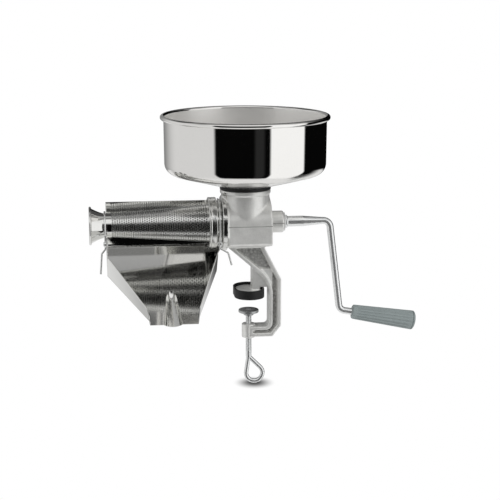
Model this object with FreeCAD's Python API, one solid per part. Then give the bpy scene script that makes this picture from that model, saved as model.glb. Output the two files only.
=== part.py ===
import FreeCAD, Part
import math
import os
from FreeCAD import Vector

# Hand-cranked food mill of the press-and-strain kind, clamped to a table edge.
# Millimetres. X runs along the crank axis towards the crank, Y away from the
# viewer and Z up. The origin is the middle of the jaw pad's underside, which
# sits on the table top.

# Clearances
RUNNING_GAP = 0.05      # radial, shaft in its bush, screw in its boss, wire eye on its pin
SEAT_GAP = 0.1          # radial, fixed pieces that slip together
FREE_GAP = 0.3          # between curved faces of pieces that move apart

# Crank axis and feed throat
AXIS_HEIGHT = 103.0
THROAT_X = -4.5
THROAT_R = 33.0
THROAT_BORE_R = 27.0
THROAT_HEIGHT = 47.0    # from the crank axis to the throat's top face
THROAT_LIP_R = 34.5
THROAT_LIP_HEIGHT = 5.5

# Barrel of the casting
FLANGE_X = -38.5        # left face of the barrel flange
FLANGE_T = 7.5
FLANGE_R = 37.5
BARREL_LEN = 60.0
BARREL_R = 34.0
BARREL_BORE_R = 28.0
BARREL_END_WALL = 5.0
SKIRT_DEPTH = 28.0      # flat-sided lower half, below the crank axis
SKIRT_CORNER_R = 6.0
BOSS_R = 15.0
BOSS_LEN = 19.0
BOSS_CHAMFER = 1.5
SPIGOT_R = 31.0

# Bush and thrust washer on the crank shaft
BUSH_WALL = 3.2
BUSH_HEAD_R = 12.5
BUSH_HEAD_T = 1.6
WASHER_R = 13.5
WASHER_T = 2.0

# Leg of the casting
LEG_WIDTH = 25.0
LEG_WEB_T = 8.0
LEG_RIB = 5.0           # width of the raised rim round the web
LEG_BACK_X = 44.0
LEG_SHOULDER_Z = 24.0
JAW_BACK_X = 27.0
KNEE_X = 9.0
KNEE_Z = 37.0
JAW_TOP_Z = 7.0         # where the bowed inner edge turns upright
JAW_BOW = 3.7
LEG_INSET = 3.0         # leg's inner edge from the flange
LEG_TOP_X = 21.0        # where the leg's outer edge meets the barrel
ARM_TOP = 42.5          # clamp arm, below the table top
ARM_HEIGHT = 14.5
ARM_HEEL = 12.0         # chamfer at the foot of the leg
ARM_HEEL_RISE = 15.5
ARM_FILLET = 5.0
ARM_BOSS_R = 9.5
ARM_BOSS_PROUD = 2.5

# Upper jaw foot and its rubber boot
FOOT_LEN = 35.0         # along X
FOOT_WIDTH = 53.0       # along Y
FOOT_T = 6.0
GUSSET_X = 3.5
GUSSET_WIDTH = 17.0
PAD_WALL = 3.0
PAD_FLOOR = 3.0
PAD_HEIGHT = 12.5

# Clamp screw and pressure disc
SCREW_R = 4.0
JAW_GAP = 20.0          # table top to the pressure disc, as photographed
DISC_R = 14.0
DISC_T = 4.0
DISC_HUB_R = 7.0
DISC_HUB_T = 4.0
SCREW_DROP = 88.0       # where the plain rod turns into the eye
EYE_WIRE_R = 3.1
EYE_R = 11.5
EYE_X = 8.0
EYE_DROP = 112.5

# Perforated screen, its collar and the waste funnel
GROOVE = 6.5            # gap between the flange and the collar
COLLAR_LEN = 11.0
COLLAR_R = 35.5
COLLAR_FACE_T = 2.0
GASKET_T = 2.0
SCREEN_LEN = 134.0
SCREEN_BIG_R = 25.8
SCREEN_SMALL_R = 15.9
SCREEN_WALL = 0.8
HOLE_ROWS = 9
HOLES_ROUND = 16
HOLE_SIZE = 3.0
HOLE_MARGIN = 9.0
BAYONET_R = 1.8
BAYONET_COUNT = 3
BAYONET_START_DEG = 202.0
BAYONET_PROUD = 1.0
FUNNEL_LAP = 4.0
FUNNEL_WALL = 0.9
FUNNEL_FLARE = 18.0
FUNNEL_MOUTH_R = 24.5
FUNNEL_BEAD_R = 1.6

# Sheet-metal chute
SHEET = 0.8
CHUTE_INSET = 5.0       # left end plate beyond the screen's small end
CHUTE_BACK_Y = 39.0
CHUTE_TOP = 25.0        # above the crank axis
CHUTE_BEND_R = 8.0
CHUTE_SLOPE_DEG = 38.0
LIP_Y = -69.4
LIP_Z = -19.7
LIP_LEFT_X = -139.0
LIP_RIGHT_X = -76.0
LEFT_KNEE_RUN = 86.0    # up the floor from the lip, where the side walls turn parallel
RIGHT_KNEE_RUN = 90.0
LIP_FLAT = 6.0          # straight stretch of the side walls at the lip
WALL_FRONT_Y = -42.0
WALL_FRONT_DROP = 11.0  # front top corner of the end plates, below the crank axis
LUG_DROP = 29.0         # foot of the lug that carries the hook's rivet, below the crank axis
WALL_EASE = 12.0        # stretch at the lip where the side walls rise
WALL_LIP_HEIGHT = 20.0  # off the floor
WALL_KNEE_HEIGHT = 40.0
NOTCH_SHOULDER = 8.0    # width of the end plates' back strip at the top
HEM_HEIGHT = 6.0
HEM_T = 1.2
SPOUT_X = -109.0
SPOUT_WIDTH = 25.0
SPOUT_DEPTH = 5.0
SPOUT_LEN = 56.0

# Wire hooks that hold the chute up
HOOK_WIRE_R = 1.3
HOOK_SIDE_GAP = 0.6
HOOK_DROP = 22.0        # pivot below the crank axis
HOOK_TIP_DEG = 8.0      # how far the tip passes the top
HOOK_PIN_R = 1.55
HOOK_PIN_HEAD_R = 3.0
HOOK_PIN_HEAD_T = 1.0
TAIL_BEND = 13.0
LEFT_TAIL_OUT = 7.0
LEFT_TAIL_DROP = 41.0
RIGHT_TAIL_OUT = 15.0
RIGHT_TAIL_DROP = 30.0

# Hopper
HOPPER_R = 109.5
HOPPER_WALL = 1.2
HOPPER_RIM_Z = 251.0
HOPPER_RIM_R = 3.2
HOPPER_CORNER_R = 15.0
HOPPER_FLOOR_DEG = 15.0
SEAL_T = 4.5
SEAL_R = 34.8
NECK_R = 26.6
NECK_WALL = 1.2
NECK_DEPTH = 9.0        # below the throat's top face

# Crank
SHAFT_R = 7.2
ROD_R = 4.8
SPINDLE_R = 3.9
SHAFT_COLLAR_R = 9.0
SHAFT_COLLAR_T = 3.0
SHAFT_STRAIGHT = 22.0   # beyond the shaft collar
CRANK_X = 112.3         # where the shaft and arm centre lines cross
ARM_LEN = 129.0
ARM_LEAN_DEG = 7.0
CRANK_BEND_R = 10.0
GRIP_DROP_DEG = 10.0
GRIP_START = 18.5
SHANK_SIDE = 9.0        # square inner end of the shaft
SHANK_LEN = 38.0

# Grip
GRIP_LEN = 86.0
GRIP_SMALL_R = 10.0
GRIP_BIG_R = 13.4
GRIP_CORNER = 2.0
GRIP_FLUTES = 14
FLUTE_R = 1.6
CAP_DOME = 5.5
CAP_PLUG_R = 8.0
CAP_PLUG_LEN = 6.0
RETAINER_R = 6.5
RETAINER_T = 1.2
RETAINER_ROOM = 3.0

# Auger
AUGER_GAP = 0.8
AUGER_CORE_R = 13.0
AUGER_TIP_R = 7.0
AUGER_PITCH = 36.0
FLIGHT_T = 4.0
AUGER_NOSE = 12.0       # core beyond the screen's small end
CROSS_PIN_R = 2.0
SPRING_WIRE_R = 1.0
SPRING_R = 10.6
SPRING_TURNS = 4
SPRING_LEN = 12.0

# Stations along the crank axis that follow from the sizes above
BARREL_X = FLANGE_X + FLANGE_T
BARREL_END_X = BARREL_X + BARREL_LEN
CHAMBER_END_X = BARREL_END_X - BARREL_END_WALL
BOSS_END_X = BARREL_END_X + BOSS_LEN
COLLAR_RIGHT_X = FLANGE_X - GROOVE
COLLAR_LEFT_X = COLLAR_RIGHT_X - COLLAR_LEN
SCREEN_X = COLLAR_LEFT_X + COLLAR_FACE_T
SPIGOT_END_X = SCREEN_X + GASKET_T
SCREEN_END_X = SCREEN_X - SCREEN_LEN
CHUTE_LEFT_X = SCREEN_END_X - CHUTE_INSET
CHUTE_RIGHT_X = COLLAR_RIGHT_X + FREE_GAP
HOOK_OFFSET = HOOK_SIDE_GAP + HOOK_WIRE_R
LEFT_HOOK_X = CHUTE_LEFT_X - SHEET - HOOK_OFFSET
RIGHT_HOOK_X = CHUTE_RIGHT_X + SHEET + HOOK_OFFSET
FUNNEL_NECK_R = SCREEN_SMALL_R + SEAT_GAP + FUNNEL_WALL
FUNNEL_NECK_X = LEFT_HOOK_X - HOOK_WIRE_R - FREE_GAP
FUNNEL_MOUTH_X = FUNNEL_NECK_X - FUNNEL_FLARE
WASHER_X = CHAMBER_END_X - FREE_GAP - WASHER_T
AUGER_REAR_X = WASHER_X - SPRING_LEN
THROAT_TOP = AXIS_HEIGHT + THROAT_HEIGHT
CHUTE_TOP_Z = AXIS_HEIGHT + CHUTE_TOP
HOOK_PIVOT_Z = AXIS_HEIGHT - HOOK_DROP
DISC_TOP = -JAW_GAP
ARM_BOTTOM = -ARM_TOP - ARM_HEIGHT
REACH = 2 * HOPPER_RIM_Z    # longer than any piece, for cutting tools


def axis_point(x, radius=0.0):
    """A point at a station on the crank axis, or above it."""
    return Vector(x, 0, AXIS_HEIGHT + radius)


def cylinder_x(x0, x1, radius):
    """A round bar on the crank axis."""
    return Part.makeCylinder(radius, x1 - x0, axis_point(x0), Vector(1, 0, 0))


def cylinder_z(x, z0, z1, radius):
    """An upright round bar."""
    return Part.makeCylinder(radius, z1 - z0, Vector(x, 0, z0))


def turned_x(profile):
    """A solid turned about the crank axis from (station, radius) corners."""
    points = [axis_point(x, radius) for x, radius in profile]
    face = Part.Face(Part.makePolygon(points + points[:1]))
    return face.revolve(axis_point(0), Vector(1, 0, 0), 360)


def tapered_tube(x0, r0, x1, r1, wall):
    """A conical sheet between two stations, given its outer radii."""
    return turned_x([(x0, r0), (x1, r1), (x1, r1 - wall), (x0, r0 - wall)])


def prism_y(points, y0, y1):
    """An outline of (x, z) corners, stretched along Y."""
    corners = [Vector(x, y0, z) for x, z in points]
    face = Part.Face(Part.makePolygon(corners + corners[:1]))
    return face.extrude(Vector(0, y1 - y0, 0))


def oval(length, width, z0, z1):
    """An upright slab with round ends, its long side along Y."""
    r = length / 2
    side = width / 2 - r
    bar = Part.makeBox(length, 2 * side, z1 - z0, Vector(-r, -side, z0))
    ends = [Part.makeCylinder(r, z1 - z0, Vector(0, y, z0)) for y in (-side, side)]
    return bar.fuse(ends).removeSplitter()


def rounded_path(points, radii):
    """A wire of straight runs joined by tangent arcs at the inner points."""
    edges = []
    start = points[0]
    for before, corner, after, radius in zip(points, points[1:], points[2:], radii):
        back = (before - corner).normalize()
        ahead = (after - corner).normalize()
        half = back.getAngle(ahead) / 2
        tangent = radius / math.tan(half)
        middle = (back + ahead).normalize() * (radius / math.sin(half) - radius)
        arc_start = corner + back * tangent
        arc_end = corner + ahead * tangent
        edges.append(Part.makeLine(start, arc_start))
        edges.append(Part.Arc(arc_start, corner + middle, arc_end).toShape())
        start = arc_end
    edges.append(Part.makeLine(start, points[-1]))
    return Part.Wire(edges)


def wire_rod(path, radius):
    """A round rod swept along a path."""
    edge = path.Edges[0]
    start = edge.valueAt(edge.FirstParameter)
    section = Part.Wire(Part.makeCircle(radius, start, edge.tangentAt(edge.FirstParameter)))
    return path.makePipeShell([section], True, False)


# Casting

def leg_outline():
    """The leg and clamp arm seen from the front, as one closed wire."""
    top = AXIS_HEIGHT - BARREL_BORE_R - 1
    under = AXIS_HEIGHT - BARREL_R
    jaw_low = -ARM_TOP + ARM_FILLET
    turn = math.radians(45)
    knee = Vector(KNEE_X, 0, KNEE_Z)
    jaw_top = Vector(JAW_BACK_X, 0, JAW_TOP_Z)
    chord = jaw_top - knee
    bow = (knee + jaw_top) * 0.5 + Vector(-chord.z, 0, chord.x).normalize() * JAW_BOW
    fillet_mid = Vector(JAW_BACK_X - ARM_FILLET * (1 - math.cos(turn)), 0,
                        jaw_low - ARM_FILLET * math.sin(turn))
    corners = [
        Vector(JAW_BACK_X - ARM_FILLET, 0, -ARM_TOP),
        Vector(0, 0, -ARM_TOP),
        Vector(0, 0, ARM_BOTTOM),
        Vector(LEG_BACK_X - ARM_HEEL, 0, ARM_BOTTOM),
        Vector(LEG_BACK_X, 0, ARM_BOTTOM + ARM_HEEL_RISE),
        Vector(LEG_BACK_X, 0, LEG_SHOULDER_Z),
        Vector(LEG_TOP_X, 0, under),
        Vector(LEG_TOP_X, 0, top),
        Vector(BARREL_X + LEG_INSET, 0, top),
        Vector(BARREL_X + LEG_INSET, 0, under),
        knee,
    ]
    edges = [Part.makeLine(a, b) for a, b in zip(corners, corners[1:])]
    edges.append(Part.Arc(knee, bow, jaw_top).toShape())
    jaw_end = Vector(JAW_BACK_X, 0, jaw_low)
    edges.append(Part.makeLine(jaw_top, jaw_end))
    edges.append(Part.Arc(jaw_end, fillet_mid, corners[0]).toShape())
    return Part.Wire(edges)


def leg():
    """I-section leg: a raised rim round a recessed web on both faces."""
    outline = leg_outline()
    half = LEG_WIDTH / 2
    depth = (LEG_WIDTH - LEG_WEB_T) / 2
    face = Part.Face(outline)
    solid = face.extrude(Vector(0, LEG_WIDTH, 0))
    solid.translate(Vector(0, -half, 0))
    recess = Part.Face(outline.makeOffset2D(-LEG_RIB))
    for y in (-half, half - depth):
        pocket = recess.extrude(Vector(0, depth, 0))
        pocket.translate(Vector(0, y, 0))
        solid = solid.cut(pocket)
    return solid


def barrel_section():
    """Barrel cross-section: round on top, flat-sided with round corners below."""
    r = BARREL_R
    low = AXIS_HEIGHT - SKIRT_DEPTH
    c = SKIRT_CORNER_R
    k = c * (1 - math.cos(math.radians(45)))
    x = BARREL_X

    def at(y, z):
        return Vector(x, y, z)

    edges = [
        Part.Arc(at(-r, AXIS_HEIGHT), at(0, AXIS_HEIGHT + r), at(r, AXIS_HEIGHT)).toShape(),
        Part.makeLine(at(r, AXIS_HEIGHT), at(r, low + c)),
        Part.Arc(at(r, low + c), at(r - k, low + k), at(r - c, low)).toShape(),
        Part.makeLine(at(r - c, low), at(c - r, low)),
        Part.Arc(at(c - r, low), at(k - r, low + k), at(-r, low + c)).toShape(),
        Part.makeLine(at(-r, low + c), at(-r, AXIS_HEIGHT)),
    ]
    return Part.Face(Part.Wire(edges))


def bayonet_pin(r0, r1, radius, degrees):
    """A radial pin through the collar and spigot at one clock position."""
    a = math.radians(degrees)
    out = Vector(0, math.cos(a), -math.sin(a))
    x = (COLLAR_RIGHT_X + SPIGOT_END_X) / 2
    return Part.makeCylinder(radius, r1 - r0, axis_point(x) + out * r0, out)


def bayonet_set(r0, r1, radius):
    """The ring of radial pins, or the holes that they sit in."""
    step = 360 / BAYONET_COUNT
    return [bayonet_pin(r0, r1, radius, BAYONET_START_DEG + step * i)
            for i in range(BAYONET_COUNT)]


BAYONET_ROOT_R = (BARREL_BORE_R + SPIGOT_R) / 2


def body_casting():
    """Barrel, throat, bearing boss, leg, clamp arm and jaw foot in one casting."""
    barrel = barrel_section().extrude(Vector(BARREL_LEN, 0, 0))
    boss = cylinder_x(BARREL_END_X - 1, BOSS_END_X, BOSS_R)
    boss = boss.makeChamfer(BOSS_CHAMFER, [boss.Edges[0]])
    stem_x = FOOT_LEN / 2 - PAD_WALL
    ledge = PAD_HEIGHT + FREE_GAP
    gusset = prism_y([(GUSSET_X, PAD_FLOOR), (stem_x, PAD_FLOOR), (stem_x, ledge),
                      (JAW_BACK_X + LEG_RIB, ledge), (JAW_BACK_X + LEG_RIB, KNEE_Z),
                      (GUSSET_X, KNEE_Z + LEG_RIB)], -GUSSET_WIDTH / 2, GUSSET_WIDTH / 2)
    solid = barrel.fuse([
        cylinder_x(BARREL_X, BARREL_END_X, BARREL_R),
        cylinder_x(FLANGE_X, BARREL_X, FLANGE_R),
        cylinder_x(SPIGOT_END_X, FLANGE_X, SPIGOT_R),
        cylinder_z(THROAT_X, AXIS_HEIGHT, THROAT_TOP, THROAT_R),
        cylinder_z(THROAT_X, THROAT_TOP - THROAT_LIP_HEIGHT, THROAT_TOP, THROAT_LIP_R),
        boss,
        leg(),
        gusset,
        oval(FOOT_LEN, FOOT_WIDTH, PAD_FLOOR, PAD_FLOOR + FOOT_T),
        cylinder_z(0, ARM_BOTTOM - ARM_BOSS_PROUD, -ARM_TOP + ARM_BOSS_PROUD, ARM_BOSS_R),
    ])
    openings = [
        cylinder_x(SPIGOT_END_X - 1, CHAMBER_END_X, BARREL_BORE_R),
        cylinder_z(THROAT_X, AXIS_HEIGHT, THROAT_TOP + 1, THROAT_BORE_R),
        cylinder_x(CHAMBER_END_X - 1, BOSS_END_X + 1, SHAFT_R + RUNNING_GAP + BUSH_WALL + SEAT_GAP),
        cylinder_z(0, ARM_BOTTOM - REACH, -ARM_TOP + ARM_BOSS_PROUD + 1, SCREW_R),
    ]
    openings += bayonet_set(BAYONET_ROOT_R, COLLAR_R, BAYONET_R + SEAT_GAP)
    return solid.cut(openings).removeSplitter()


def shaft_bush():
    """Flanged plain bearing pressed into the rear boss."""
    bore = SHAFT_R + RUNNING_GAP
    sleeve = cylinder_x(CHAMBER_END_X, BOSS_END_X, bore + BUSH_WALL)
    head = cylinder_x(BOSS_END_X, BOSS_END_X + BUSH_HEAD_T, BUSH_HEAD_R)
    hole = cylinder_x(CHAMBER_END_X - 1, BOSS_END_X + BUSH_HEAD_T + 1, bore)
    return sleeve.fuse(head).cut(hole).removeSplitter()


def jaw_pad():
    """Rubber boot pulled over the jaw foot, with a lip standing above it."""
    rim = 2 * (PAD_WALL + SEAT_GAP)
    boot = oval(FOOT_LEN + rim, FOOT_WIDTH + rim, 0, PAD_HEIGHT)
    pocket = oval(FOOT_LEN + 2 * SEAT_GAP, FOOT_WIDTH + 2 * SEAT_GAP, PAD_FLOOR, PAD_HEIGHT + 1)
    return boot.cut(pocket)


# Screen, collar and funnel

def screen_radius(x):
    """Outer radius of the perforated cone at a station."""
    share = (SCREEN_X - x) / SCREEN_LEN
    return SCREEN_BIG_R + (SCREEN_SMALL_R - SCREEN_BIG_R) * share


def screen_holes():
    """Staggered rows of small square holes round the cone."""
    holes = []
    first = COLLAR_LEFT_X - HOLE_MARGIN
    last = SCREEN_END_X + FUNNEL_LAP + HOLE_MARGIN
    for row in range(HOLE_ROWS):
        x = first + (last - first) * row / (HOLE_ROWS - 1)
        r = screen_radius(x)
        for i in range(HOLES_ROUND):
            hole = Part.makeBox(HOLE_SIZE, HOLE_SIZE, 4 * SCREEN_WALL,
                                Vector(x - HOLE_SIZE / 2, -HOLE_SIZE / 2,
                                       AXIS_HEIGHT + r - 2.5 * SCREEN_WALL))
            turn = 360 / HOLES_ROUND * (i + 0.5 * (row % 2))
            hole.rotate(axis_point(0), Vector(1, 0, 0), turn)
            holes.append(hole)
    return holes


def screen_cone():
    """Perforated conical strainer."""
    cone = tapered_tube(SCREEN_END_X, SCREEN_SMALL_R, SCREEN_X, SCREEN_BIG_R, SCREEN_WALL)
    return cone.cut(Part.makeCompound(screen_holes()))


def screen_collar():
    """Polished ring that locks the screen on the barrel's spigot."""
    ring = cylinder_x(COLLAR_LEFT_X, COLLAR_RIGHT_X, COLLAR_R)
    socket = cylinder_x(SCREEN_X, COLLAR_RIGHT_X + 1, SPIGOT_R + SEAT_GAP)
    mouth = cylinder_x(COLLAR_LEFT_X - 1, SCREEN_X + 1, SCREEN_BIG_R + SEAT_GAP)
    holes = bayonet_set(SPIGOT_R, COLLAR_R + 1, BAYONET_R + SEAT_GAP)
    return ring.cut([socket, mouth] + holes)


def screen_gasket():
    """Rubber ring between the spigot's end and the collar's face."""
    ring = cylinder_x(SCREEN_X, SPIGOT_END_X, SPIGOT_R)
    return ring.cut(cylinder_x(SCREEN_X - 1, SPIGOT_END_X + 1, BARREL_BORE_R))


def bayonet_pins():
    """Radial pins that lock the collar to the spigot."""
    return Part.makeCompound(bayonet_set(BAYONET_ROOT_R, COLLAR_R + BAYONET_PROUD, BAYONET_R))


def waste_funnel():
    """Sleeve on the screen's small end, flaring to a beaded mouth."""
    r = FUNNEL_NECK_R
    wall = FUNNEL_WALL
    x0 = SCREEN_END_X + FUNNEL_LAP
    taper = screen_radius(x0) - SCREEN_SMALL_R
    sheet = turned_x([
        (x0, r + taper), (FUNNEL_NECK_X, r), (FUNNEL_MOUTH_X, FUNNEL_MOUTH_R),
        (FUNNEL_MOUTH_X, FUNNEL_MOUTH_R - wall), (FUNNEL_NECK_X, r - wall),
        (SCREEN_END_X, r - wall), (x0, r - wall + taper)])
    bead = Part.makeTorus(FUNNEL_MOUTH_R, FUNNEL_BEAD_R, axis_point(FUNNEL_MOUTH_X), Vector(1, 0, 0))
    return sheet.fuse(bead).removeSplitter()


# Chute

def pan_lines():
    """Corner, slope direction and tangent length of the pan's side profile."""
    slope = math.radians(CHUTE_SLOPE_DEG)
    ahead = Vector(0, -math.cos(slope), -math.sin(slope))
    corner_z = LIP_Z + (CHUTE_BACK_Y - LIP_Y) * math.tan(slope)
    tangent = CHUTE_BEND_R * math.tan((math.pi / 2 - slope) / 2)
    return Vector(0, CHUTE_BACK_Y, corner_z), ahead, tangent


def pan_edges(inset, top, lip_run):
    """Back, bend and slope of the pan, moved inwards by an inset."""
    corner, ahead, tangent = pan_lines()
    slope = math.radians(CHUTE_SLOPE_DEG)
    inward = Vector(0, -math.sin(slope), math.cos(slope))
    tangent -= inset * math.tan((math.pi / 2 - slope) / 2)
    radius = CHUTE_BEND_R - inset
    shift = inset * (1 - math.sin(slope)) / math.cos(slope)
    moved = corner + Vector(0, -inset, shift)
    bend_top = moved + Vector(0, 0, tangent)
    bend_low = moved + ahead * tangent
    centre = bend_top + Vector(0, -radius, 0)
    middle = centre + (moved - centre).normalize() * radius
    lip = Vector(0, LIP_Y, LIP_Z) + inward * inset + ahead * lip_run
    start = Vector(0, CHUTE_BACK_Y - inset, top)
    return [
        Part.makeLine(start, bend_top),
        Part.Arc(bend_top, middle, bend_low).toShape(),
        Part.makeLine(bend_low, lip),
    ], start, lip


def floor_point(x, run, height):
    """A point at an X, a run up the floor from the lip and a height off the floor."""
    slope = math.radians(CHUTE_SLOPE_DEG)
    return Vector(x, LIP_Y + run * math.cos(slope) - height * math.sin(slope),
                  LIP_Z + run * math.sin(slope) + height * math.cos(slope))


def prism_floor(points, low=-REACH):
    """Prism square to the floor, from a height upwards, over a closed line of (x, run) points."""
    foot = [floor_point(x, run, low) for x, run in points]
    face = Part.Face(Part.makePolygon(foot + foot[:1]))
    return face.extrude(floor_point(0, 0, REACH) - floor_point(0, 0, low))


def side_line(end):
    """Line of one end plate on the floor: parallel, drawing in, straight at the lip."""
    if end == "left":
        x, knee, lip_x = CHUTE_LEFT_X, LEFT_KNEE_RUN, LIP_LEFT_X
    else:
        x, knee, lip_x = CHUTE_RIGHT_X, RIGHT_KNEE_RUN, LIP_RIGHT_X
    return [(x, REACH), (x, knee), (lip_x, LIP_FLAT), (lip_x, -SPOUT_DEPTH - HEM_HEIGHT)]


def chute_outline(outwards):
    """The pan's outline on the floor, between its two end plates."""
    left = [(x - outwards, run) for x, run in side_line("left")]
    right = [(x + outwards, run) for x, run in side_line("right")]
    return left + right[::-1]


def chute_pan():
    """Back panel, bend and sloping floor with a hemmed top and a pressed spout."""
    inner, inner_start, inner_lip = pan_edges(SHEET, CHUTE_TOP_Z, 0)
    outer, outer_start, outer_lip = pan_edges(0, CHUTE_TOP_Z, 0)
    wire = Part.Wire(inner + [Part.makeLine(inner_lip, outer_lip)] + outer[::-1]
                     + [Part.makeLine(outer_start, inner_start)])
    width = CHUTE_RIGHT_X - CHUTE_LEFT_X + 2 * SHEET
    sheet = Part.Face(wire).extrude(Vector(width, 0, 0))
    sheet.translate(Vector(CHUTE_LEFT_X - SHEET, 0, 0))
    hem = Part.makeBox(width, HEM_T, HEM_HEIGHT,
                       Vector(CHUTE_LEFT_X - SHEET, CHUTE_BACK_Y, CHUTE_TOP_Z - HEM_HEIGHT))
    sheet = sheet.fuse(hem)
    sheet = sheet.common(prism_floor(chute_outline(SHEET)))
    trough, hollow = spout_forms()
    return sheet.fuse(trough).cut(hollow).removeSplitter()


def spout_forms():
    """Pressed spout: the trough's sheet under the floor, and its hollow."""
    slope = math.radians(CHUTE_SLOPE_DEG)
    corner, ahead, tangent = pan_lines()
    inward = Vector(0, -math.sin(slope), math.cos(slope))
    radius = (SPOUT_WIDTH ** 2 / 4 + SPOUT_DEPTH ** 2) / (2 * SPOUT_DEPTH)
    lift = radius - SPOUT_DEPTH + SHEET
    lip = Vector(SPOUT_X, LIP_Y, LIP_Z)
    start = lip - ahead * (SPOUT_LEN - SPOUT_WIDTH / 2) + inward * lift
    run = SPOUT_LEN - SPOUT_WIDTH / 2

    def capsule(r, length):
        bar = Part.makeCylinder(r, length, start, ahead)
        return bar.fuse(Part.makeSphere(r, start))

    under = Part.makeBox(REACH, REACH, REACH, Vector(-REACH / 2, -REACH / 2, -REACH))
    under.rotate(Vector(), Vector(1, 0, 0), CHUTE_SLOPE_DEG)
    under.translate(lip + inward * SHEET)
    hollow = capsule(radius, run + SHEET)
    trough = capsule(radius + SHEET, run).common(under).cut(hollow)
    return trough, hollow


def end_plate(end, notch_r):
    """One bent end plate, standing on the pan and notched for what passes through."""
    line = side_line(end)
    sign = -1 if end == "left" else 1
    outer = [(x + sign * SHEET, run) for x, run in line]
    bent = prism_floor(line + outer[::-1])
    x, outer_x = line[0][0], outer[0][0]
    lug = prism_floor([(x, -REACH), (x, REACH), (outer_x, REACH), (outer_x, -REACH)], WALL_KNEE_HEIGHT)
    wall = bent.cut(prism_floor([(-REACH, -REACH), (-REACH, REACH), (REACH, REACH), (REACH, -REACH)],
                                WALL_KNEE_HEIGHT))
    floor, back, lip = pan_edges(SHEET + SEAT_GAP / 2, CHUTE_TOP_Z, 0)
    knee_run = line[1][1]
    lip_top = floor_point(0, WALL_EASE, WALL_LIP_HEIGHT)
    knee_top = floor_point(0, knee_run, WALL_KNEE_HEIGHT)
    lug_foot = Vector(0, WALL_FRONT_Y, AXIS_HEIGHT - LUG_DROP)
    front_top = Vector(0, WALL_FRONT_Y, AXIS_HEIGHT - WALL_FRONT_DROP)
    shoulder = Vector(0, CHUTE_BACK_Y - NOTCH_SHOULDER, CHUTE_TOP_Z)
    rest = [lip, lip_top, knee_top, lug_foot, front_top, Vector(0, -notch_r, front_top.z),
            Vector(0, -notch_r, AXIS_HEIGHT), Vector(0, min(notch_r, shoulder.y), AXIS_HEIGHT),
            shoulder, back]
    wire = Part.Wire(floor + [Part.makeLine(a, b) for a, b in zip(rest, rest[1:])])
    side = Part.Face(wire).extrude(Vector(2 * REACH, 0, 0))
    side.translate(Vector(-REACH, 0, 0))
    plate = wall.fuse(lug).common(side).removeSplitter()
    hole = Part.makeCylinder(notch_r, 2 * REACH, axis_point(-REACH), Vector(1, 0, 0))
    pin_y = hook_pivot_y(end)
    pin = Part.makeCylinder(HOOK_PIN_R + SEAT_GAP / 2, 2 * REACH, Vector(-REACH, pin_y, HOOK_PIVOT_Z),
                            Vector(1, 0, 0))
    return plate.cut([hole, pin])


def chute_left_end():
    """End plate at the funnel, notched round its neck."""
    return end_plate("left", FUNNEL_NECK_R + FREE_GAP)


def chute_right_end():
    """End plate in the groove behind the collar, notched round the spigot."""
    return end_plate("right", SPIGOT_R + FREE_GAP)


# Wire hooks

def hook_sizes(end):
    """Plane, bend radius, outward sign and tail of one wire hook."""
    if end == "left":
        held_r = FUNNEL_NECK_R
        return LEFT_HOOK_X, held_r + FREE_GAP + HOOK_WIRE_R, -1, LEFT_TAIL_OUT, LEFT_TAIL_DROP
    return RIGHT_HOOK_X, SPIGOT_R + FREE_GAP + HOOK_WIRE_R, 1, RIGHT_TAIL_OUT, RIGHT_TAIL_DROP


def hook_pivot_y(end):
    """The pivot lies straight under the front of the hook's bend."""
    return -hook_sizes(end)[1]


def wire_hook(end):
    """J-shaped wire over the neck or spigot, an eye on its pin and a bent-out tail."""
    x, r, sign, out, drop = hook_sizes(end)
    tip = math.radians(HOOK_TIP_DEG)
    half = math.radians(45) - tip / 2
    pivot = Vector(x, -r, HOOK_PIVOT_Z)
    front = Vector(x, -r, AXIS_HEIGHT)
    over = Vector(x, -r * math.sin(half), AXIS_HEIGHT + r * math.cos(half))
    end_point = Vector(x, r * math.sin(tip), AXIS_HEIGHT + r * math.cos(tip))
    eye_r = HOOK_PIN_R + RUNNING_GAP + 2 * HOOK_WIRE_R
    leg_start = pivot + Vector(0, 0, eye_r - HOOK_WIRE_R)
    bend = Part.Wire([Part.makeLine(leg_start, front), Part.Arc(front, over, end_point).toShape()])
    tail_top = pivot - Vector(0, 0, eye_r - HOOK_WIRE_R)
    bend_top = pivot - Vector(0, 0, eye_r + 2 * HOOK_WIRE_R)
    elbow = pivot + Vector(sign * out * 0.7, 0, -TAIL_BEND)
    foot = pivot + Vector(sign * out, 0, -drop)
    tail = rounded_path([tail_top, bend_top, elbow, foot], [2 * HOOK_WIRE_R, 2 * HOOK_WIRE_R])
    sideways = Vector(2 * HOOK_WIRE_R, 0, 0)
    eye = Part.makeCylinder(eye_r, sideways.x, pivot - sideways * 0.5, Vector(1, 0, 0))
    hole = Part.makeCylinder(HOOK_PIN_R + RUNNING_GAP, 3 * sideways.x, pivot - sideways * 1.5,
                             Vector(1, 0, 0))
    ball = Part.makeSphere(HOOK_WIRE_R, tail_top)
    solid = eye.fuse([wire_rod(bend, HOOK_WIRE_R), wire_rod(tail, HOOK_WIRE_R), ball])
    return solid.cut(hole).removeSplitter()


def left_hook():
    """Hook over the funnel's neck."""
    return wire_hook("left")


def right_hook():
    """Hook over the spigot, between the end plate and the flange."""
    return wire_hook("right")


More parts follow.
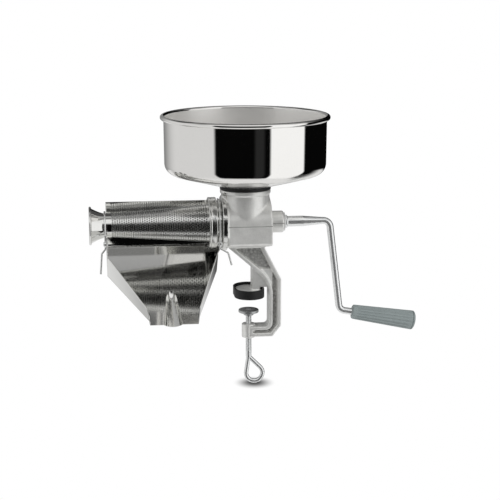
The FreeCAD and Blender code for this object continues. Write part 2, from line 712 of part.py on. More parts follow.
def hook_pin(end):
    """Rivet in an end plate that carries one hook."""
    x, r, sign, out, drop = hook_sizes(end)
    plate_x = CHUTE_LEFT_X if end == "left" else CHUTE_RIGHT_X
    head_x = x + sign * (HOOK_WIRE_R + RUNNING_GAP * 2)
    inner_x = plate_x - sign * HOOK_PIN_HEAD_T
    centre = Vector(0, -r, HOOK_PIVOT_Z)
    way = Vector(sign, 0, 0)
    shank_len = abs(head_x - inner_x)
    shank = Part.makeCylinder(HOOK_PIN_R, shank_len, centre + Vector(inner_x, 0, 0), way)
    head = Part.makeCylinder(HOOK_PIN_HEAD_R, HOOK_PIN_HEAD_T, centre + Vector(head_x, 0, 0), way)
    set_head = Part.makeCylinder(HOOK_PIN_HEAD_R, HOOK_PIN_HEAD_T, centre + Vector(inner_x, 0, 0), way)
    return shank.fuse([head, set_head]).removeSplitter()


def hook_pins():
    """The rivets that the wire hooks turn on."""
    return Part.makeCompound([hook_pin("left"), hook_pin("right")])


# Hopper

SEAL_TOP = THROAT_TOP + SEAL_T


def floor_height(r):
    """Underside of the hopper's sloping floor at a radius from its axis."""
    return SEAL_TOP + (r - SEAL_R) * math.tan(math.radians(HOPPER_FLOOR_DEG))


def hopper_bowl():
    """Spun bowl: sloping floor, round corner, straight wall and rolled rim."""
    floor = math.radians(HOPPER_FLOOR_DEG)
    turn = math.pi / 2 - floor
    mid = floor + turn / 2

    def wall_edges(inset):
        radius = HOPPER_CORNER_R - inset
        centre_r = HOPPER_R - HOPPER_CORNER_R
        low_r = centre_r + HOPPER_CORNER_R * math.sin(floor)
        centre_z = floor_height(low_r) + HOPPER_CORNER_R * math.cos(floor)
        centre = Vector(THROAT_X + centre_r, 0, centre_z)
        low = centre + Vector(math.sin(floor), 0, -math.cos(floor)) * radius
        bow = centre + Vector(math.sin(mid), 0, -math.cos(mid)) * radius
        side = centre + Vector(radius, 0, 0)
        inner_r = NECK_R - inset * math.sin(floor)
        start = Vector(THROAT_X + inner_r, 0, low.z - (low.x - THROAT_X - inner_r) * math.tan(floor))
        top = Vector(side.x, 0, HOPPER_RIM_Z - HOPPER_RIM_R)
        edges = [Part.makeLine(start, low), Part.Arc(low, bow, side).toShape(), Part.makeLine(side, top)]
        return edges, start, top

    outer, outer_start, outer_top = wall_edges(0)
    inner, inner_start, inner_top = wall_edges(HOPPER_WALL)
    wire = Part.Wire(outer + [Part.makeLine(outer_top, inner_top)] + inner[::-1]
                     + [Part.makeLine(inner_start, outer_start)])
    axis = Vector(THROAT_X, 0, 0)
    shell = Part.Face(wire).revolve(axis, Vector(0, 0, 1), 360)
    rim_r = HOPPER_R - HOPPER_WALL + HOPPER_RIM_R
    rim = Part.makeTorus(rim_r, HOPPER_RIM_R, axis + Vector(0, 0, HOPPER_RIM_Z - HOPPER_RIM_R))
    return shell.fuse(rim).removeSplitter()


def hopper_neck():
    """Short tube under the bowl that drops into the throat."""
    floor = math.tan(math.radians(HOPPER_FLOOR_DEG))
    lift = NECK_R - SEAL_R
    top = SEAL_TOP + lift * floor - SEAT_GAP / 2
    bottom = THROAT_TOP - NECK_DEPTH
    return cylinder_z(THROAT_X, bottom, top, NECK_R).cut(
        cylinder_z(THROAT_X, bottom - 1, top + 1, NECK_R - NECK_WALL))


def throat_seal():
    """Rubber ring between the throat's top face and the hopper's floor."""
    floor = math.tan(math.radians(HOPPER_FLOOR_DEG))
    inner = NECK_R + SEAT_GAP
    inner_top = SEAL_TOP + (inner - SEAL_R) * floor - SEAT_GAP / 2
    corners = [(inner, THROAT_TOP), (SEAL_R, THROAT_TOP), (SEAL_R, SEAL_TOP - SEAT_GAP / 2),
               (inner, inner_top)]
    points = [Vector(THROAT_X + r, 0, z) for r, z in corners]
    face = Part.Face(Part.makePolygon(points + points[:1]))
    return face.revolve(Vector(THROAT_X, 0, 0), Vector(0, 0, 1), 360)


# Crank, grip and auger

ARM_WAY = Vector(math.sin(math.radians(ARM_LEAN_DEG)), 0, -math.cos(math.radians(ARM_LEAN_DEG)))
GRIP_WAY = Vector(math.cos(math.radians(GRIP_DROP_DEG)), 0, -math.sin(math.radians(GRIP_DROP_DEG)))
CRANK_ELBOW = Vector(CRANK_X, 0, AXIS_HEIGHT)
GRIP_ELBOW = CRANK_ELBOW + ARM_WAY * ARM_LEN
GRIP_BASE = GRIP_ELBOW + GRIP_WAY * GRIP_START
SPINDLE_LEN = GRIP_LEN - CAP_PLUG_LEN - RETAINER_ROOM
COLLAR_X = BOSS_END_X + BUSH_HEAD_T + FREE_GAP
TAPER_X = COLLAR_X + SHAFT_COLLAR_T + SHAFT_STRAIGHT
ELBOW_TANGENT = CRANK_BEND_R * math.tan(math.radians(90 - ARM_LEAN_DEG) / 2)
TAPER_END_X = CRANK_X - ELBOW_TANGENT - 1
CROSS_PIN_X = AUGER_REAR_X - SHANK_LEN / 3


def crank_rod():
    """Forged crank: square shank, round shaft, taper, bent arm and grip spindle."""
    shank_x = WASHER_X
    side = SHANK_SIDE
    shank = Part.makeBox(SHANK_LEN, side, side,
                         Vector(AUGER_REAR_X - SHANK_LEN + SPRING_LEN, -side / 2, AXIS_HEIGHT - side / 2))
    shaft = turned_x([(shank_x, 0), (shank_x, SHAFT_R), (COLLAR_X, SHAFT_R), (COLLAR_X, SHAFT_COLLAR_R),
                      (COLLAR_X + SHAFT_COLLAR_T, SHAFT_COLLAR_R), (COLLAR_X + SHAFT_COLLAR_T, SHAFT_R),
                      (TAPER_X, SHAFT_R), (TAPER_END_X, ROD_R), (TAPER_END_X, 0)])
    path = rounded_path([axis_point(TAPER_END_X), CRANK_ELBOW, GRIP_ELBOW, GRIP_BASE - GRIP_WAY * FREE_GAP],
                        [CRANK_BEND_R, CRANK_BEND_R])
    spindle = Part.makeCylinder(SPINDLE_R, SPINDLE_LEN + 1, GRIP_BASE - GRIP_WAY, GRIP_WAY)
    pin_hole = cross_pin_bar(CROSS_PIN_R + SEAT_GAP / 2, 2 * AUGER_CORE_R)
    return shaft.fuse([shank, wire_rod(path, ROD_R), spindle]).cut(pin_hole).removeSplitter()


def cross_pin_bar(radius, length):
    """An upright bar across the auger's hub."""
    return Part.makeCylinder(radius, length, axis_point(CROSS_PIN_X, -length / 2), Vector(0, 0, 1))


def auger_pin():
    """Cross pin that locks the auger to the crank's shank."""
    return cross_pin_bar(CROSS_PIN_R, 2 * AUGER_CORE_R - 2)


def thrust_washer():
    """Washer between the auger spring and the barrel's end wall."""
    ring = cylinder_x(WASHER_X, WASHER_X + WASHER_T, WASHER_R)
    return ring.cut(cylinder_x(WASHER_X - 1, WASHER_X + WASHER_T + 1, SHAFT_R + SEAT_GAP))


def spring_path():
    """Helix round the shaft, as two tangent arcs for each half turn."""
    wire = SPRING_WIRE_R
    start_x = AUGER_REAR_X + wire + SEAT_GAP
    rise = SPRING_LEN - 2 * (wire + SEAT_GAP)
    lead = rise / SPRING_TURNS / (2 * math.pi)

    def point(a):
        return axis_point(start_x + lead * a) + Vector(0, math.cos(a), math.sin(a)) * SPRING_R

    def tangent(a):
        return Vector(lead, -SPRING_R * math.sin(a), SPRING_R * math.cos(a)).normalize()

    def tangent_arc(p, q, corner):
        chord = (p + q) * 0.5
        half = (p - corner).getAngle(q - corner) / 2
        radius = (p - corner).Length * math.tan(half)
        sag = radius * (1 - math.sin(half))
        return Part.Arc(p, chord + (corner - chord).normalize() * sag, q).toShape()

    edges = []
    step = math.pi / 2
    for i in range(4 * SPRING_TURNS):
        a, b = i * step, (i + 1) * step
        p, q, t, u = point(a), point(b), tangent(a), tangent(b)
        span, both = q - p, t + u
        k = both.dot(both) - 4
        root = math.sqrt(span.dot(both) ** 2 - k * span.dot(span))
        reach = (span.dot(both) - root) / k
        first, second = p + t * reach, q - u * reach
        joint = (first + second) * 0.5
        edges += [tangent_arc(p, joint, first), tangent_arc(joint, q, second)]
    return Part.Wire(edges)


def auger_spring():
    """Compression spring that keeps the auger pressed forward."""
    return wire_rod(spring_path(), SPRING_WIRE_R)


def auger():
    """Feed screw: tapered core, helical flight trimmed to the barrel and the cone."""
    length = AUGER_REAR_X - SCREEN_END_X
    step = AUGER_REAR_X - SPIGOT_END_X
    big_r = BARREL_BORE_R - AUGER_GAP
    inner = AUGER_GAP + SCREEN_WALL
    helix = Part.makeLongHelix(AUGER_PITCH, length, AUGER_CORE_R)
    root_r = AUGER_TIP_R - 2
    corners = [Vector(root_r, 0, -FLIGHT_T / 2), Vector(big_r + 1, 0, -FLIGHT_T / 2),
               Vector(big_r + 1, 0, FLIGHT_T / 2), Vector(root_r, 0, FLIGHT_T / 2)]
    sweep = Part.BRepOffsetAPI.MakePipeShell(Part.Wire(helix.Edges))
    sweep.setFrenetMode(True)
    sweep.add(Part.makePolygon(corners + corners[:1]))
    sweep.build()
    sweep.makeSolid()
    flight = sweep.shape()
    flight.rotate(Vector(), Vector(0, 1, 0), -90)
    flight.translate(axis_point(AUGER_REAR_X))
    nose_x = SCREEN_END_X - AUGER_NOSE
    cone_x = AUGER_REAR_X - step
    envelope = turned_x([(AUGER_REAR_X, 0), (AUGER_REAR_X, big_r), (cone_x, big_r),
                         (cone_x, screen_radius(SCREEN_X) - inner),
                         (SCREEN_END_X, SCREEN_SMALL_R - inner), (SCREEN_END_X, 0)])
    core = turned_x([(AUGER_REAR_X, 0), (AUGER_REAR_X, AUGER_CORE_R), (SPIGOT_END_X, AUGER_CORE_R),
                     (SCREEN_END_X, AUGER_TIP_R), (nose_x, AUGER_TIP_R - 2), (nose_x, 0)])
    side = SHANK_SIDE + 2 * SEAT_GAP
    socket = Part.makeBox(SHANK_LEN + 1, side, side,
                          Vector(AUGER_REAR_X - SHANK_LEN + SPRING_LEN - SEAT_GAP, -side / 2,
                                 AXIS_HEIGHT - side / 2))
    solid = core.fuse(flight.common(envelope))
    return solid.cut([socket, cross_pin_bar(CROSS_PIN_R + SEAT_GAP / 2, 4 * AUGER_CORE_R)])


def along_grip(shape):
    """Lay a shape that was made on the Z axis along the grip's axis."""
    shape.rotate(Vector(), Vector(0, 1, 0), 90 + GRIP_DROP_DEG)
    shape.translate(GRIP_BASE)
    return shape


def turned_z(profile):
    """A solid turned about the Z axis from (radius, height) corners."""
    points = [Vector(r, 0, z) for r, z in profile]
    face = Part.Face(Part.makePolygon(points + points[:1]))
    return face.revolve(Vector(), Vector(0, 0, 1), 360)


def grip_radius(z):
    """Radius of the tapered grip at a distance from its inner end."""
    return GRIP_SMALL_R + (GRIP_BIG_R - GRIP_SMALL_R) * z / GRIP_LEN


def crank_grip():
    """Tapered turning grip with lengthwise flutes, bored for the spindle."""
    bore = SPINDLE_R + RUNNING_GAP
    room_z = SPINDLE_LEN - RETAINER_T - RETAINER_ROOM
    body = turned_z([(bore, 0), (GRIP_SMALL_R - GRIP_CORNER, 0), (grip_radius(GRIP_CORNER), GRIP_CORNER),
                     (GRIP_BIG_R, GRIP_LEN), (CAP_PLUG_R + SEAT_GAP, GRIP_LEN),
                     (CAP_PLUG_R + SEAT_GAP, room_z), (bore, room_z)])
    lean = math.degrees(math.atan((GRIP_BIG_R - GRIP_SMALL_R) / GRIP_LEN))
    flutes = []
    for i in range(GRIP_FLUTES):
        flute = Part.makeCylinder(FLUTE_R, GRIP_LEN * 1.2, Vector(0, 0, -GRIP_LEN * 0.1))
        flute.rotate(Vector(), Vector(0, 1, 0), lean)
        flute.translate(Vector(GRIP_SMALL_R + FLUTE_R / 2, 0, 0))
        flute.rotate(Vector(), Vector(0, 0, 1), 360 / GRIP_FLUTES * i)
        flutes.append(flute)
    return along_grip(body.cut(flutes))


def grip_end_cap():
    """Domed cap plugged into the grip's outer end."""
    r = GRIP_BIG_R
    dome_r = (r * r + CAP_DOME * CAP_DOME) / (2 * CAP_DOME)
    dome = Part.makeSphere(dome_r, Vector(0, 0, GRIP_LEN + CAP_DOME - dome_r))
    dome = dome.common(Part.makeCylinder(r, CAP_DOME, Vector(0, 0, GRIP_LEN)))
    plug = Part.makeCylinder(CAP_PLUG_R, CAP_PLUG_LEN, Vector(0, 0, GRIP_LEN - CAP_PLUG_LEN))
    return along_grip(dome.fuse(plug).removeSplitter())


def grip_retainer():
    """Push-on washer that keeps the grip on the spindle."""
    top = SPINDLE_LEN - RUNNING_GAP
    ring = turned_z([(SPINDLE_R + RUNNING_GAP / 2, top - RETAINER_T), (RETAINER_R, top - RETAINER_T),
                     (RETAINER_R, top), (SPINDLE_R + RUNNING_GAP / 2, top)])
    return along_grip(ring)


# Clamp

def pressure_disc():
    """Swivelling disc that the clamp screw presses up against the table."""
    disc = cylinder_z(0, DISC_TOP - DISC_T, DISC_TOP, DISC_R)
    hub = cylinder_z(0, DISC_TOP - DISC_T - DISC_HUB_T, DISC_TOP - DISC_T, DISC_HUB_R)
    hole = cylinder_z(0, DISC_TOP - DISC_T - DISC_HUB_T - 1, DISC_TOP + 1, SCREW_R)
    return disc.fuse(hub).cut(hole).removeSplitter()


def clamp_screw():
    """Screw rod whose lower end is bent into a teardrop eye."""
    rod = cylinder_z(0, -SCREW_DROP, DISC_TOP - RUNNING_GAP, SCREW_R - RUNNING_GAP)
    neck_foot = Vector(0, 0, -SCREW_DROP - EYE_WIRE_R)
    neck = Part.makeCone(EYE_WIRE_R, SCREW_R - RUNNING_GAP, EYE_WIRE_R, neck_foot)
    centre = Vector(EYE_X, 0, -EYE_DROP)
    top = Vector(0, 0, -SCREW_DROP)
    reach = (top - centre).Length
    lean = math.atan2(top.x - centre.x, top.z - centre.z)
    spread = math.acos(EYE_R / reach)

    def on_eye(angle):
        return centre + Vector(math.sin(angle), 0, math.cos(angle)) * EYE_R

    left, right = on_eye(lean - spread), on_eye(lean + spread)
    bottom = on_eye(lean + math.pi)
    loop = Part.Wire([Part.makeLine(top, left), Part.Arc(left, bottom, right).toShape()])
    back = top - right
    closing = Part.makeCylinder(EYE_WIRE_R, back.Length - EYE_WIRE_R / 2, right, back)
    return rod.fuse([neck, wire_rod(loop, EYE_WIRE_R), closing]).removeSplitter()


PIECES = [
    body_casting, shaft_bush, jaw_pad,
    screen_cone, screen_collar, screen_gasket, bayonet_pins, waste_funnel,
    chute_pan, chute_left_end, chute_right_end, hook_pins, left_hook, right_hook,
    hopper_bowl, hopper_neck, throat_seal,
    crank_rod, auger, auger_pin, auger_spring, thrust_washer, grip_retainer,
    crank_grip, grip_end_cap,
    pressure_disc, clamp_screw,
]


def main():
    """Build every piece and write one STEP file for each."""
    os.makedirs("parts", exist_ok=True)
    for piece in PIECES:
        shape = piece()
        print(piece.__name__, len(shape.Solids), round(shape.Volume, 1), shape.isValid())
        shape.exportStep("parts/" + piece.__name__ + ".step")


main()
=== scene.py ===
"""Visual model of a hand-cranked food mill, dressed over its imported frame."""

import logging
import math
from contextlib import contextmanager
from dataclasses import dataclass, field
from enum import Enum
from typing import Any, Iterable, Iterator, Optional, Sequence, Union

import bmesh
import bpy
from mathutils import Matrix, Vector


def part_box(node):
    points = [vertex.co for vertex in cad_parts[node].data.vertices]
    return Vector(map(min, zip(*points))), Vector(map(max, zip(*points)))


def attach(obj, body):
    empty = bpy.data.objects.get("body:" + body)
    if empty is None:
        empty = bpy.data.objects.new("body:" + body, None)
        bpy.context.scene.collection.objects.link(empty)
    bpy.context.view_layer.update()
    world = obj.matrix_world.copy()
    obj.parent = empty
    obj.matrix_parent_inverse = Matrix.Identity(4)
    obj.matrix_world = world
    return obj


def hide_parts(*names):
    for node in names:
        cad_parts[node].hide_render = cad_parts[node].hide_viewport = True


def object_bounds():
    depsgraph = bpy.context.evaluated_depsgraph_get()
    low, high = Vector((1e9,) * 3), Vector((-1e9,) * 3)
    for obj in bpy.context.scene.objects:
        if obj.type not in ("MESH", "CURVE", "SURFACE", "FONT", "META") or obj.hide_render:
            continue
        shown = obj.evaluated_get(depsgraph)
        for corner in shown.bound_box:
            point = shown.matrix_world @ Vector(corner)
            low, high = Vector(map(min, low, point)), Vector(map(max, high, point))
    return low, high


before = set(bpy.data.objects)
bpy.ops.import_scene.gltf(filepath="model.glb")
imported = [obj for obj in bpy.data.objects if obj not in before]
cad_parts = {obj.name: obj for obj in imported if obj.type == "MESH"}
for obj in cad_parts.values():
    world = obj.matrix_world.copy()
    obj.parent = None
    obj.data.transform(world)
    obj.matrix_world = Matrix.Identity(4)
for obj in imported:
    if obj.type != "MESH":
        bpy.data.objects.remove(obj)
CAD_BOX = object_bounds()
LOG = logging.getLogger("food_mill")
MM = 0.001
SHARP_DEG = 38.0
DOUBLES = 1e-7  # points of a new mesh that are closer than this become one
CAD_DOUBLES = 1e-6  # the same for a CAD node's loose triangles
ON_AXIS = 1e-9  # a smaller radius lies on the axis of a turned piece
RELAX = 0.5  # how far one pass of smoothing goes
INSIDE, WEB, TURNED = "inside", "web", "turned"  # marks on faces that finishes read

Number = Union[int, float]
Pair = tuple[float, float]
Triple = tuple[float, float, float]
Colour = Triple
Profile = list[Pair]


class Axis(Enum):
    """Named directions that turned pieces are turned about."""

    CRANK = (1.0, 0.0, 0.0)
    UP = (0.0, 0.0, 1.0)

    @property
    def way(self) -> Vector:
        """The direction as a vector."""
        return Vector(self.value)


class Sock:
    """A node's socket that takes part in Python arithmetic."""

    def __init__(self, sheet: "Nodes", socket: bpy.types.NodeSocket) -> None:
        """Keep the node sheet and the socket."""
        self.sheet = sheet
        self.socket = socket

    def call(self, operation: str, *others: Any) -> "Sock":
        """Add a Math node on this value.

        Args:
            operation: The Math node's operation.
            others: Further operands, sockets or numbers.

        Returns:
            The Math node's output.
        """
        return self.sheet.add("ShaderNodeMath", {"operation": operation}, [self, *others])

    def __add__(self, other: Any) -> "Sock":
        """Sum."""
        return self.call("ADD", other)

    __radd__ = __add__

    def __sub__(self, other: Any) -> "Sock":
        """Difference."""
        return self.call("SUBTRACT", other)

    def __rsub__(self, other: Number) -> "Sock":
        """Difference from a number."""
        return self.sheet.add("ShaderNodeMath", {"operation": "SUBTRACT"}, [other, self])

    def __mul__(self, other: Any) -> "Sock":
        """Product."""
        return self.call("MULTIPLY", other)

    __rmul__ = __mul__

    def __truediv__(self, other: Any) -> "Sock":
        """Quotient."""
        return self.call("DIVIDE", other)

    def __pow__(self, other: Number) -> "Sock":
        """Power."""
        return self.call("POWER", other)

    def __gt__(self, other: Any) -> "Sock":
        """One where this is more."""
        return self.call("GREATER_THAN", other)

    def __abs__(self) -> "Sock":
        """Absolute value."""
        return self.call("ABSOLUTE")

    def step(self, edge: Number, soft: Number) -> "Sock":
        """A step from 0 to 1 at an edge, as wide as soft says."""
        return self.sheet.add("ShaderNodeMapRange", {"interpolation_type": "SMOOTHSTEP"},
                              [self, edge - soft / 2, edge + soft / 2, 0.0, 1.0])

    def between(self, low: Number, high: Number, soft: Number) -> "Sock":
        """A mask, from 0 to 1, of the stretch from low to high, with edges as wide as soft says."""
        return self.step(low, soft) * (1 - self.step(high, soft))


class Nodes:
    """A node tree that nodes are added to in one call each."""

    def __init__(self, tree: bpy.types.NodeTree) -> None:
        """Keep the tree."""
        self.tree = tree

    def add(self, kind: str, settings: Optional[dict] = None, inputs: Any = None,
            out: Any = 0) -> Sock:
        """Add a node.

        Args:
            kind: The node's type.
            settings: Properties that are set first.
            inputs: Values or links, as a list in order or a dict by name or index.
            out: Name or index of the output to return.

        Returns:
            The chosen output.
        """
        node = self.tree.nodes.new(kind)
        for name, value in (settings or {}).items():
            setattr(node, name, value)
        self.feed(node, inputs or [])
        return Sock(self, node.outputs[out] if len(node.outputs) else None)

    def feed(self, node: bpy.types.Node, inputs: Any) -> None:
        """Feed a node's sockets.

        Args:
            node: The node.
            inputs: Values or links, as a list in order or a dict by name or index.
        """
        pairs = inputs.items() if isinstance(inputs, dict) else enumerate(inputs)
        for key, value in pairs:
            if isinstance(value, Sock):
                self.tree.links.new(value.socket, node.inputs[key])
            else:
                node.inputs[key].default_value = value

    def apart(self, vector: Sock) -> tuple[Sock, Sock, Sock]:
        """The three coordinates of a vector."""
        node = self.add("ShaderNodeSeparateXYZ", None, [vector]).socket.node
        return tuple(Sock(self, output) for output in node.outputs)


class GeoTree:
    """A Geometry Nodes tree with named inputs that is run once into a plain mesh."""

    def __init__(self, name: str) -> None:
        """Start a tree with geometry in and geometry out.

        Args:
            name: Name of the tree and of the mesh that it makes.
        """
        self.name = name
        self.tree = bpy.data.node_groups.new(name, "GeometryNodeTree")
        self.sheet = Nodes(self.tree)
        self.entry = self.tree.nodes.new("NodeGroupInput")
        self.values: dict[str, Number] = {}
        for way in ("INPUT", "OUTPUT"):
            self.tree.interface.new_socket("Geometry", in_out=way,
                                           socket_type="NodeSocketGeometry")

    def source(self) -> Sock:
        """The geometry that comes in."""
        return Sock(self.sheet, self.entry.outputs["Geometry"])

    def value(self, name: str, value: Number) -> Sock:
        """Add a named number.

        Args:
            name: Name of the input.
            value: Its value; a whole number makes a whole-number input.

        Returns:
            The input's socket.
        """
        kind = "NodeSocketInt" if isinstance(value, int) else "NodeSocketFloat"
        item = self.tree.interface.new_socket(name, in_out="INPUT", socket_type=kind)
        self.values[item.identifier] = value
        return Sock(self.sheet, self.entry.outputs[name])

    def place(self) -> tuple[Sock, Sock, Sock]:
        """The three coordinates of the position."""
        return self.sheet.apart(self.sheet.add("GeometryNodeInputPosition"))

    def moved(self, geometry: Sock, x: Any, y: Any, z: Any) -> Sock:
        """The geometry with its points put at new coordinates."""
        target = self.sheet.add("ShaderNodeCombineXYZ", None, [x, y, z])
        return self.sheet.add("GeometryNodeSetPosition", None,
                              {"Geometry": geometry, "Position": target})

    def run(self, base: bpy.types.Mesh, result: Sock, finish: "Finish") -> bpy.types.Mesh:
        """Run the tree on a mesh, which is used up.

        Args:
            base: Mesh that goes in.
            result: Geometry that comes out of the tree's own nodes.
            finish: Finish that is set on the result.

        Returns:
            The plain mesh.
        """
        solid = self.sheet.add("GeometryNodeRealizeInstances", None, [result])
        dressed = self.sheet.add("GeometryNodeSetMaterial", None,
                                 {"Geometry": solid, "Material": finish.material()})
        self.sheet.add("NodeGroupOutput", None, [dressed])
        holder = placed(self.name, base)
        modifier = holder.modifiers.new("rule", "NODES")
        modifier.node_group = self.tree
        for identifier, value in self.values.items():
            modifier[identifier] = value
        return smooth(baked(holder, self.name))


def grey(level: float) -> Colour:
    """A neutral colour."""
    return (level, level, level)


class Finish:
    """A surface finish that is made into a material once."""

    made: dict[str, bpy.types.Material] = {}

    def material(self) -> bpy.types.Material:
        """The finish's material, built on first use."""
        if self.name not in Finish.made:
            material = bpy.data.materials.new(self.name)
            material.use_nodes = True
            self.dress(Nodes(material.node_tree), material.node_tree.nodes["Principled BSDF"])
            Finish.made[self.name] = material
        return Finish.made[self.name]

    def dress(self, sheet: Nodes, shader: bpy.types.Node) -> None:
        """Fill in the shader; each finish does this its own way."""
        raise NotImplementedError

    @staticmethod
    def place(sheet: Nodes) -> Sock:
        """Object coordinates."""
        return sheet.add("ShaderNodeTexCoord", out="Object")

    @staticmethod
    def mark(sheet: Nodes, name: str) -> Sock:
        """A mark that the piece's faces carry, from 0 to 1."""
        return sheet.add("ShaderNodeAttribute", {"attribute_name": name}, out="Fac")

    @staticmethod
    def noise(sheet: Nodes, where: Sock, scale: float, detail: float = 3.0) -> Sock:
        """Noise between 0 and 1 over the surface."""
        return sheet.add("ShaderNodeTexNoise", None,
                         {"Vector": where, "Scale": scale, "Detail": detail})

    @staticmethod
    def bump(sheet: Nodes, height: Sock, strength: float = 1.0, depth: float = 1.0) -> Sock:
        """The normal of a surface with a height, of which 1 stands for a depth in metres."""
        return sheet.add("ShaderNodeBump", None,
                         {"Strength": strength, "Distance": depth, "Height": height})

    @staticmethod
    def tone(sheet: Nodes, amount: Sock, low: Colour, high: Colour) -> Sock:
        """A colour between two, by an amount from 0 to 1."""
        return sheet.add("ShaderNodeMix", {"data_type": "RGBA"},
                         {0: amount, 6: (*low, 1.0), 7: (*high, 1.0)}, 2)


@dataclass(frozen=True)
class BrightMetal(Finish):
    """Polished or plated metal with a slightly wavy surface and a fine grain.

    Args:
        name: Name of the material.
        low: Colour in the duller patches.
        high: Colour in the brighter patches.
        rough: Least roughness.
        haze: How much roughness the dull patches add.
        wave: Height of the long waves in metres.
        grain: Scale of the fine grain.
        tooth: Height of the fine grain in metres.
        metal: Share of metal in the shader; plating that scatters has less.
        dull: Roughness that faces marked as inside have on top.
        matt: Share of metal that such faces lose.
        cloud: Scale of the patches.
        cloudy: Share of them in the tone; the rest is grain.
        swell: Scale of the long waves.
    """

    name: str
    low: Colour
    high: Colour
    rough: float
    haze: float
    wave: float
    grain: float
    tooth: float
    metal: float = 1.0
    dull: float = 0.0
    matt: float = 0.0
    cloud: float = 26.0
    cloudy: float = 0.6
    swell: float = 17.0

    def dress(self, sheet: Nodes, shader: bpy.types.Node) -> None:
        """Metal with cloudy brightness and roughness, long waves and a fine grain.

        Args:
            sheet: The material's nodes.
            shader: Its shader.
        """
        where = self.place(sheet)
        fine = self.noise(sheet, where, self.grain)
        cloud = self.noise(sheet, where, self.cloud)
        swell = self.noise(sheet, where, self.swell, detail=1.0)
        patch = cloud * self.cloudy + fine * (1 - self.cloudy)
        rough, metal = patch * self.haze + self.rough, self.metal
        if self.dull:
            inside = self.mark(sheet, INSIDE)
            rough += inside * self.dull
            metal -= inside * self.matt
        sheet.feed(shader, {"Base Color": self.tone(sheet, patch, self.low, self.high),
                            "Roughness": rough, "Metallic": metal,
                            "Normal": self.bump(sheet, swell * self.wave + fine * self.tooth)})


@dataclass(frozen=True)
class CastAluminium(Finish):
    """Tumbled casting: satin, with a pebbled web, a parting line and a turned flange.

    Args:
        name: Name of the material.
        low: Colour in the pits.
        high: Colour on the high spots.
        rough: Base roughness.
        seam: Height of the parting line.
        metal: Share of metal in the shader.
        cut: How much smoother the turned flange is.
        grain: Scale of the fine skin.
        cloud: Scale of the cloudy patches.
        pebble: Scale of the web's pebbles.
        blend: How far the pebbles run into each other.
        line: Half the parting line's width and the width of its edges.
        tones: Brightness from the patches and the skin, and what they add to.
        pits: How much the pebbles' rims darken the web, and how much it is darker all over.
        haze: Roughness that the skin and the web add.
        rise: Height of the skin, of the pebbles and, downwards, of the parting line.
        strength: Strength of the bump.
        depth: Height in metres that a rise of 1 stands for.
    """

    name: str
    low: Colour
    high: Colour
    rough: float
    seam: float
    metal: float
    cut: float
    grain: float = 900.0
    cloud: float = 60.0
    pebble: float = 340.0
    blend: float = 0.4
    line: Pair = (0.5 * MM, 0.3 * MM)
    tones: Triple = (0.45, 0.3, 0.27)
    pits: Pair = (0.7, 0.35)
    haze: Pair = (0.12, 0.08)
    rise: Triple = (0.25, 2.4, 2.0)
    strength: float = 0.55
    depth: float = 0.35 * MM

    def dress(self, sheet: Nodes, shader: bpy.types.Node) -> None:
        """Satin metal whose web is pebbled and whose flange is bright.

        Args:
            sheet: The material's nodes.
            shader: Its shader.
        """
        where = self.place(sheet)
        z = sheet.apart(where)[2]
        skin = self.noise(sheet, where, self.grain)
        cloud = self.noise(sheet, where, self.cloud)
        pebble = sheet.add("ShaderNodeTexVoronoi", {"feature": "SMOOTH_F1"},
                           {"Vector": where, "Scale": self.pebble, "Smoothness": self.blend})
        web, flange = self.mark(sheet, WEB), self.mark(sheet, TURNED)
        cast = 1 - flange
        seam = (1 - abs(z - self.seam).step(*self.line)) * cast
        shade = cloud * self.tones[0] + skin * self.tones[1] + self.tones[2]
        shade = shade * (1 - web * (pebble * self.pits[0] + self.pits[1])) * (1 - seam)
        rough = skin * self.haze[0] + web * self.haze[1] + self.rough - flange * self.cut
        height = skin * self.rise[0] + web * pebble * self.rise[1] - seam * self.rise[2]
        sheet.feed(shader, {"Base Color": self.tone(sheet, shade, self.low, self.high),
                            "Roughness": rough,
                            "Metallic": flange * (1 - self.metal) + self.metal,
                            "Normal": self.bump(sheet, height * cast, self.strength, self.depth)})


@dataclass(frozen=True)
class Moulded(Finish):
    """Moulded plastic or rubber with a fine skin.

    Args:
        name: Name of the material.
        low: Colour in the hollows of the skin.
        high: Colour on the skin.
        rough: Base roughness.
        skin: Scale of the moulded texture.
        depth: Height of the moulded texture in metres.
        sheen: Specular level.
        cloud: Scale of the mottling.
        haze: Roughness that the mottling adds.
        strength: Strength of the bump.
    """

    name: str
    low: Colour
    high: Colour
    rough: float
    skin: float
    depth: float
    sheen: float
    cloud: float = 45.0
    haze: float = 0.12
    strength: float = 0.4

    def dress(self, sheet: Nodes, shader: bpy.types.Node) -> None:
        """Plastic with slight mottling and a fine moulded skin.

        Args:
            sheet: The material's nodes.
            shader: Its shader.
        """
        where = self.place(sheet)
        fine = self.noise(sheet, where, self.skin)
        cloud = self.noise(sheet, where, self.cloud, detail=2.0)
        mottled = self.tone(sheet, (fine + cloud) / 2, self.low, self.high)
        sheet.feed(shader, {"Base Color": mottled, "Roughness": cloud * self.haze + self.rough,
                            "Specular IOR Level": self.sheen,
                            "Normal": self.bump(sheet, fine, self.strength, self.depth)})


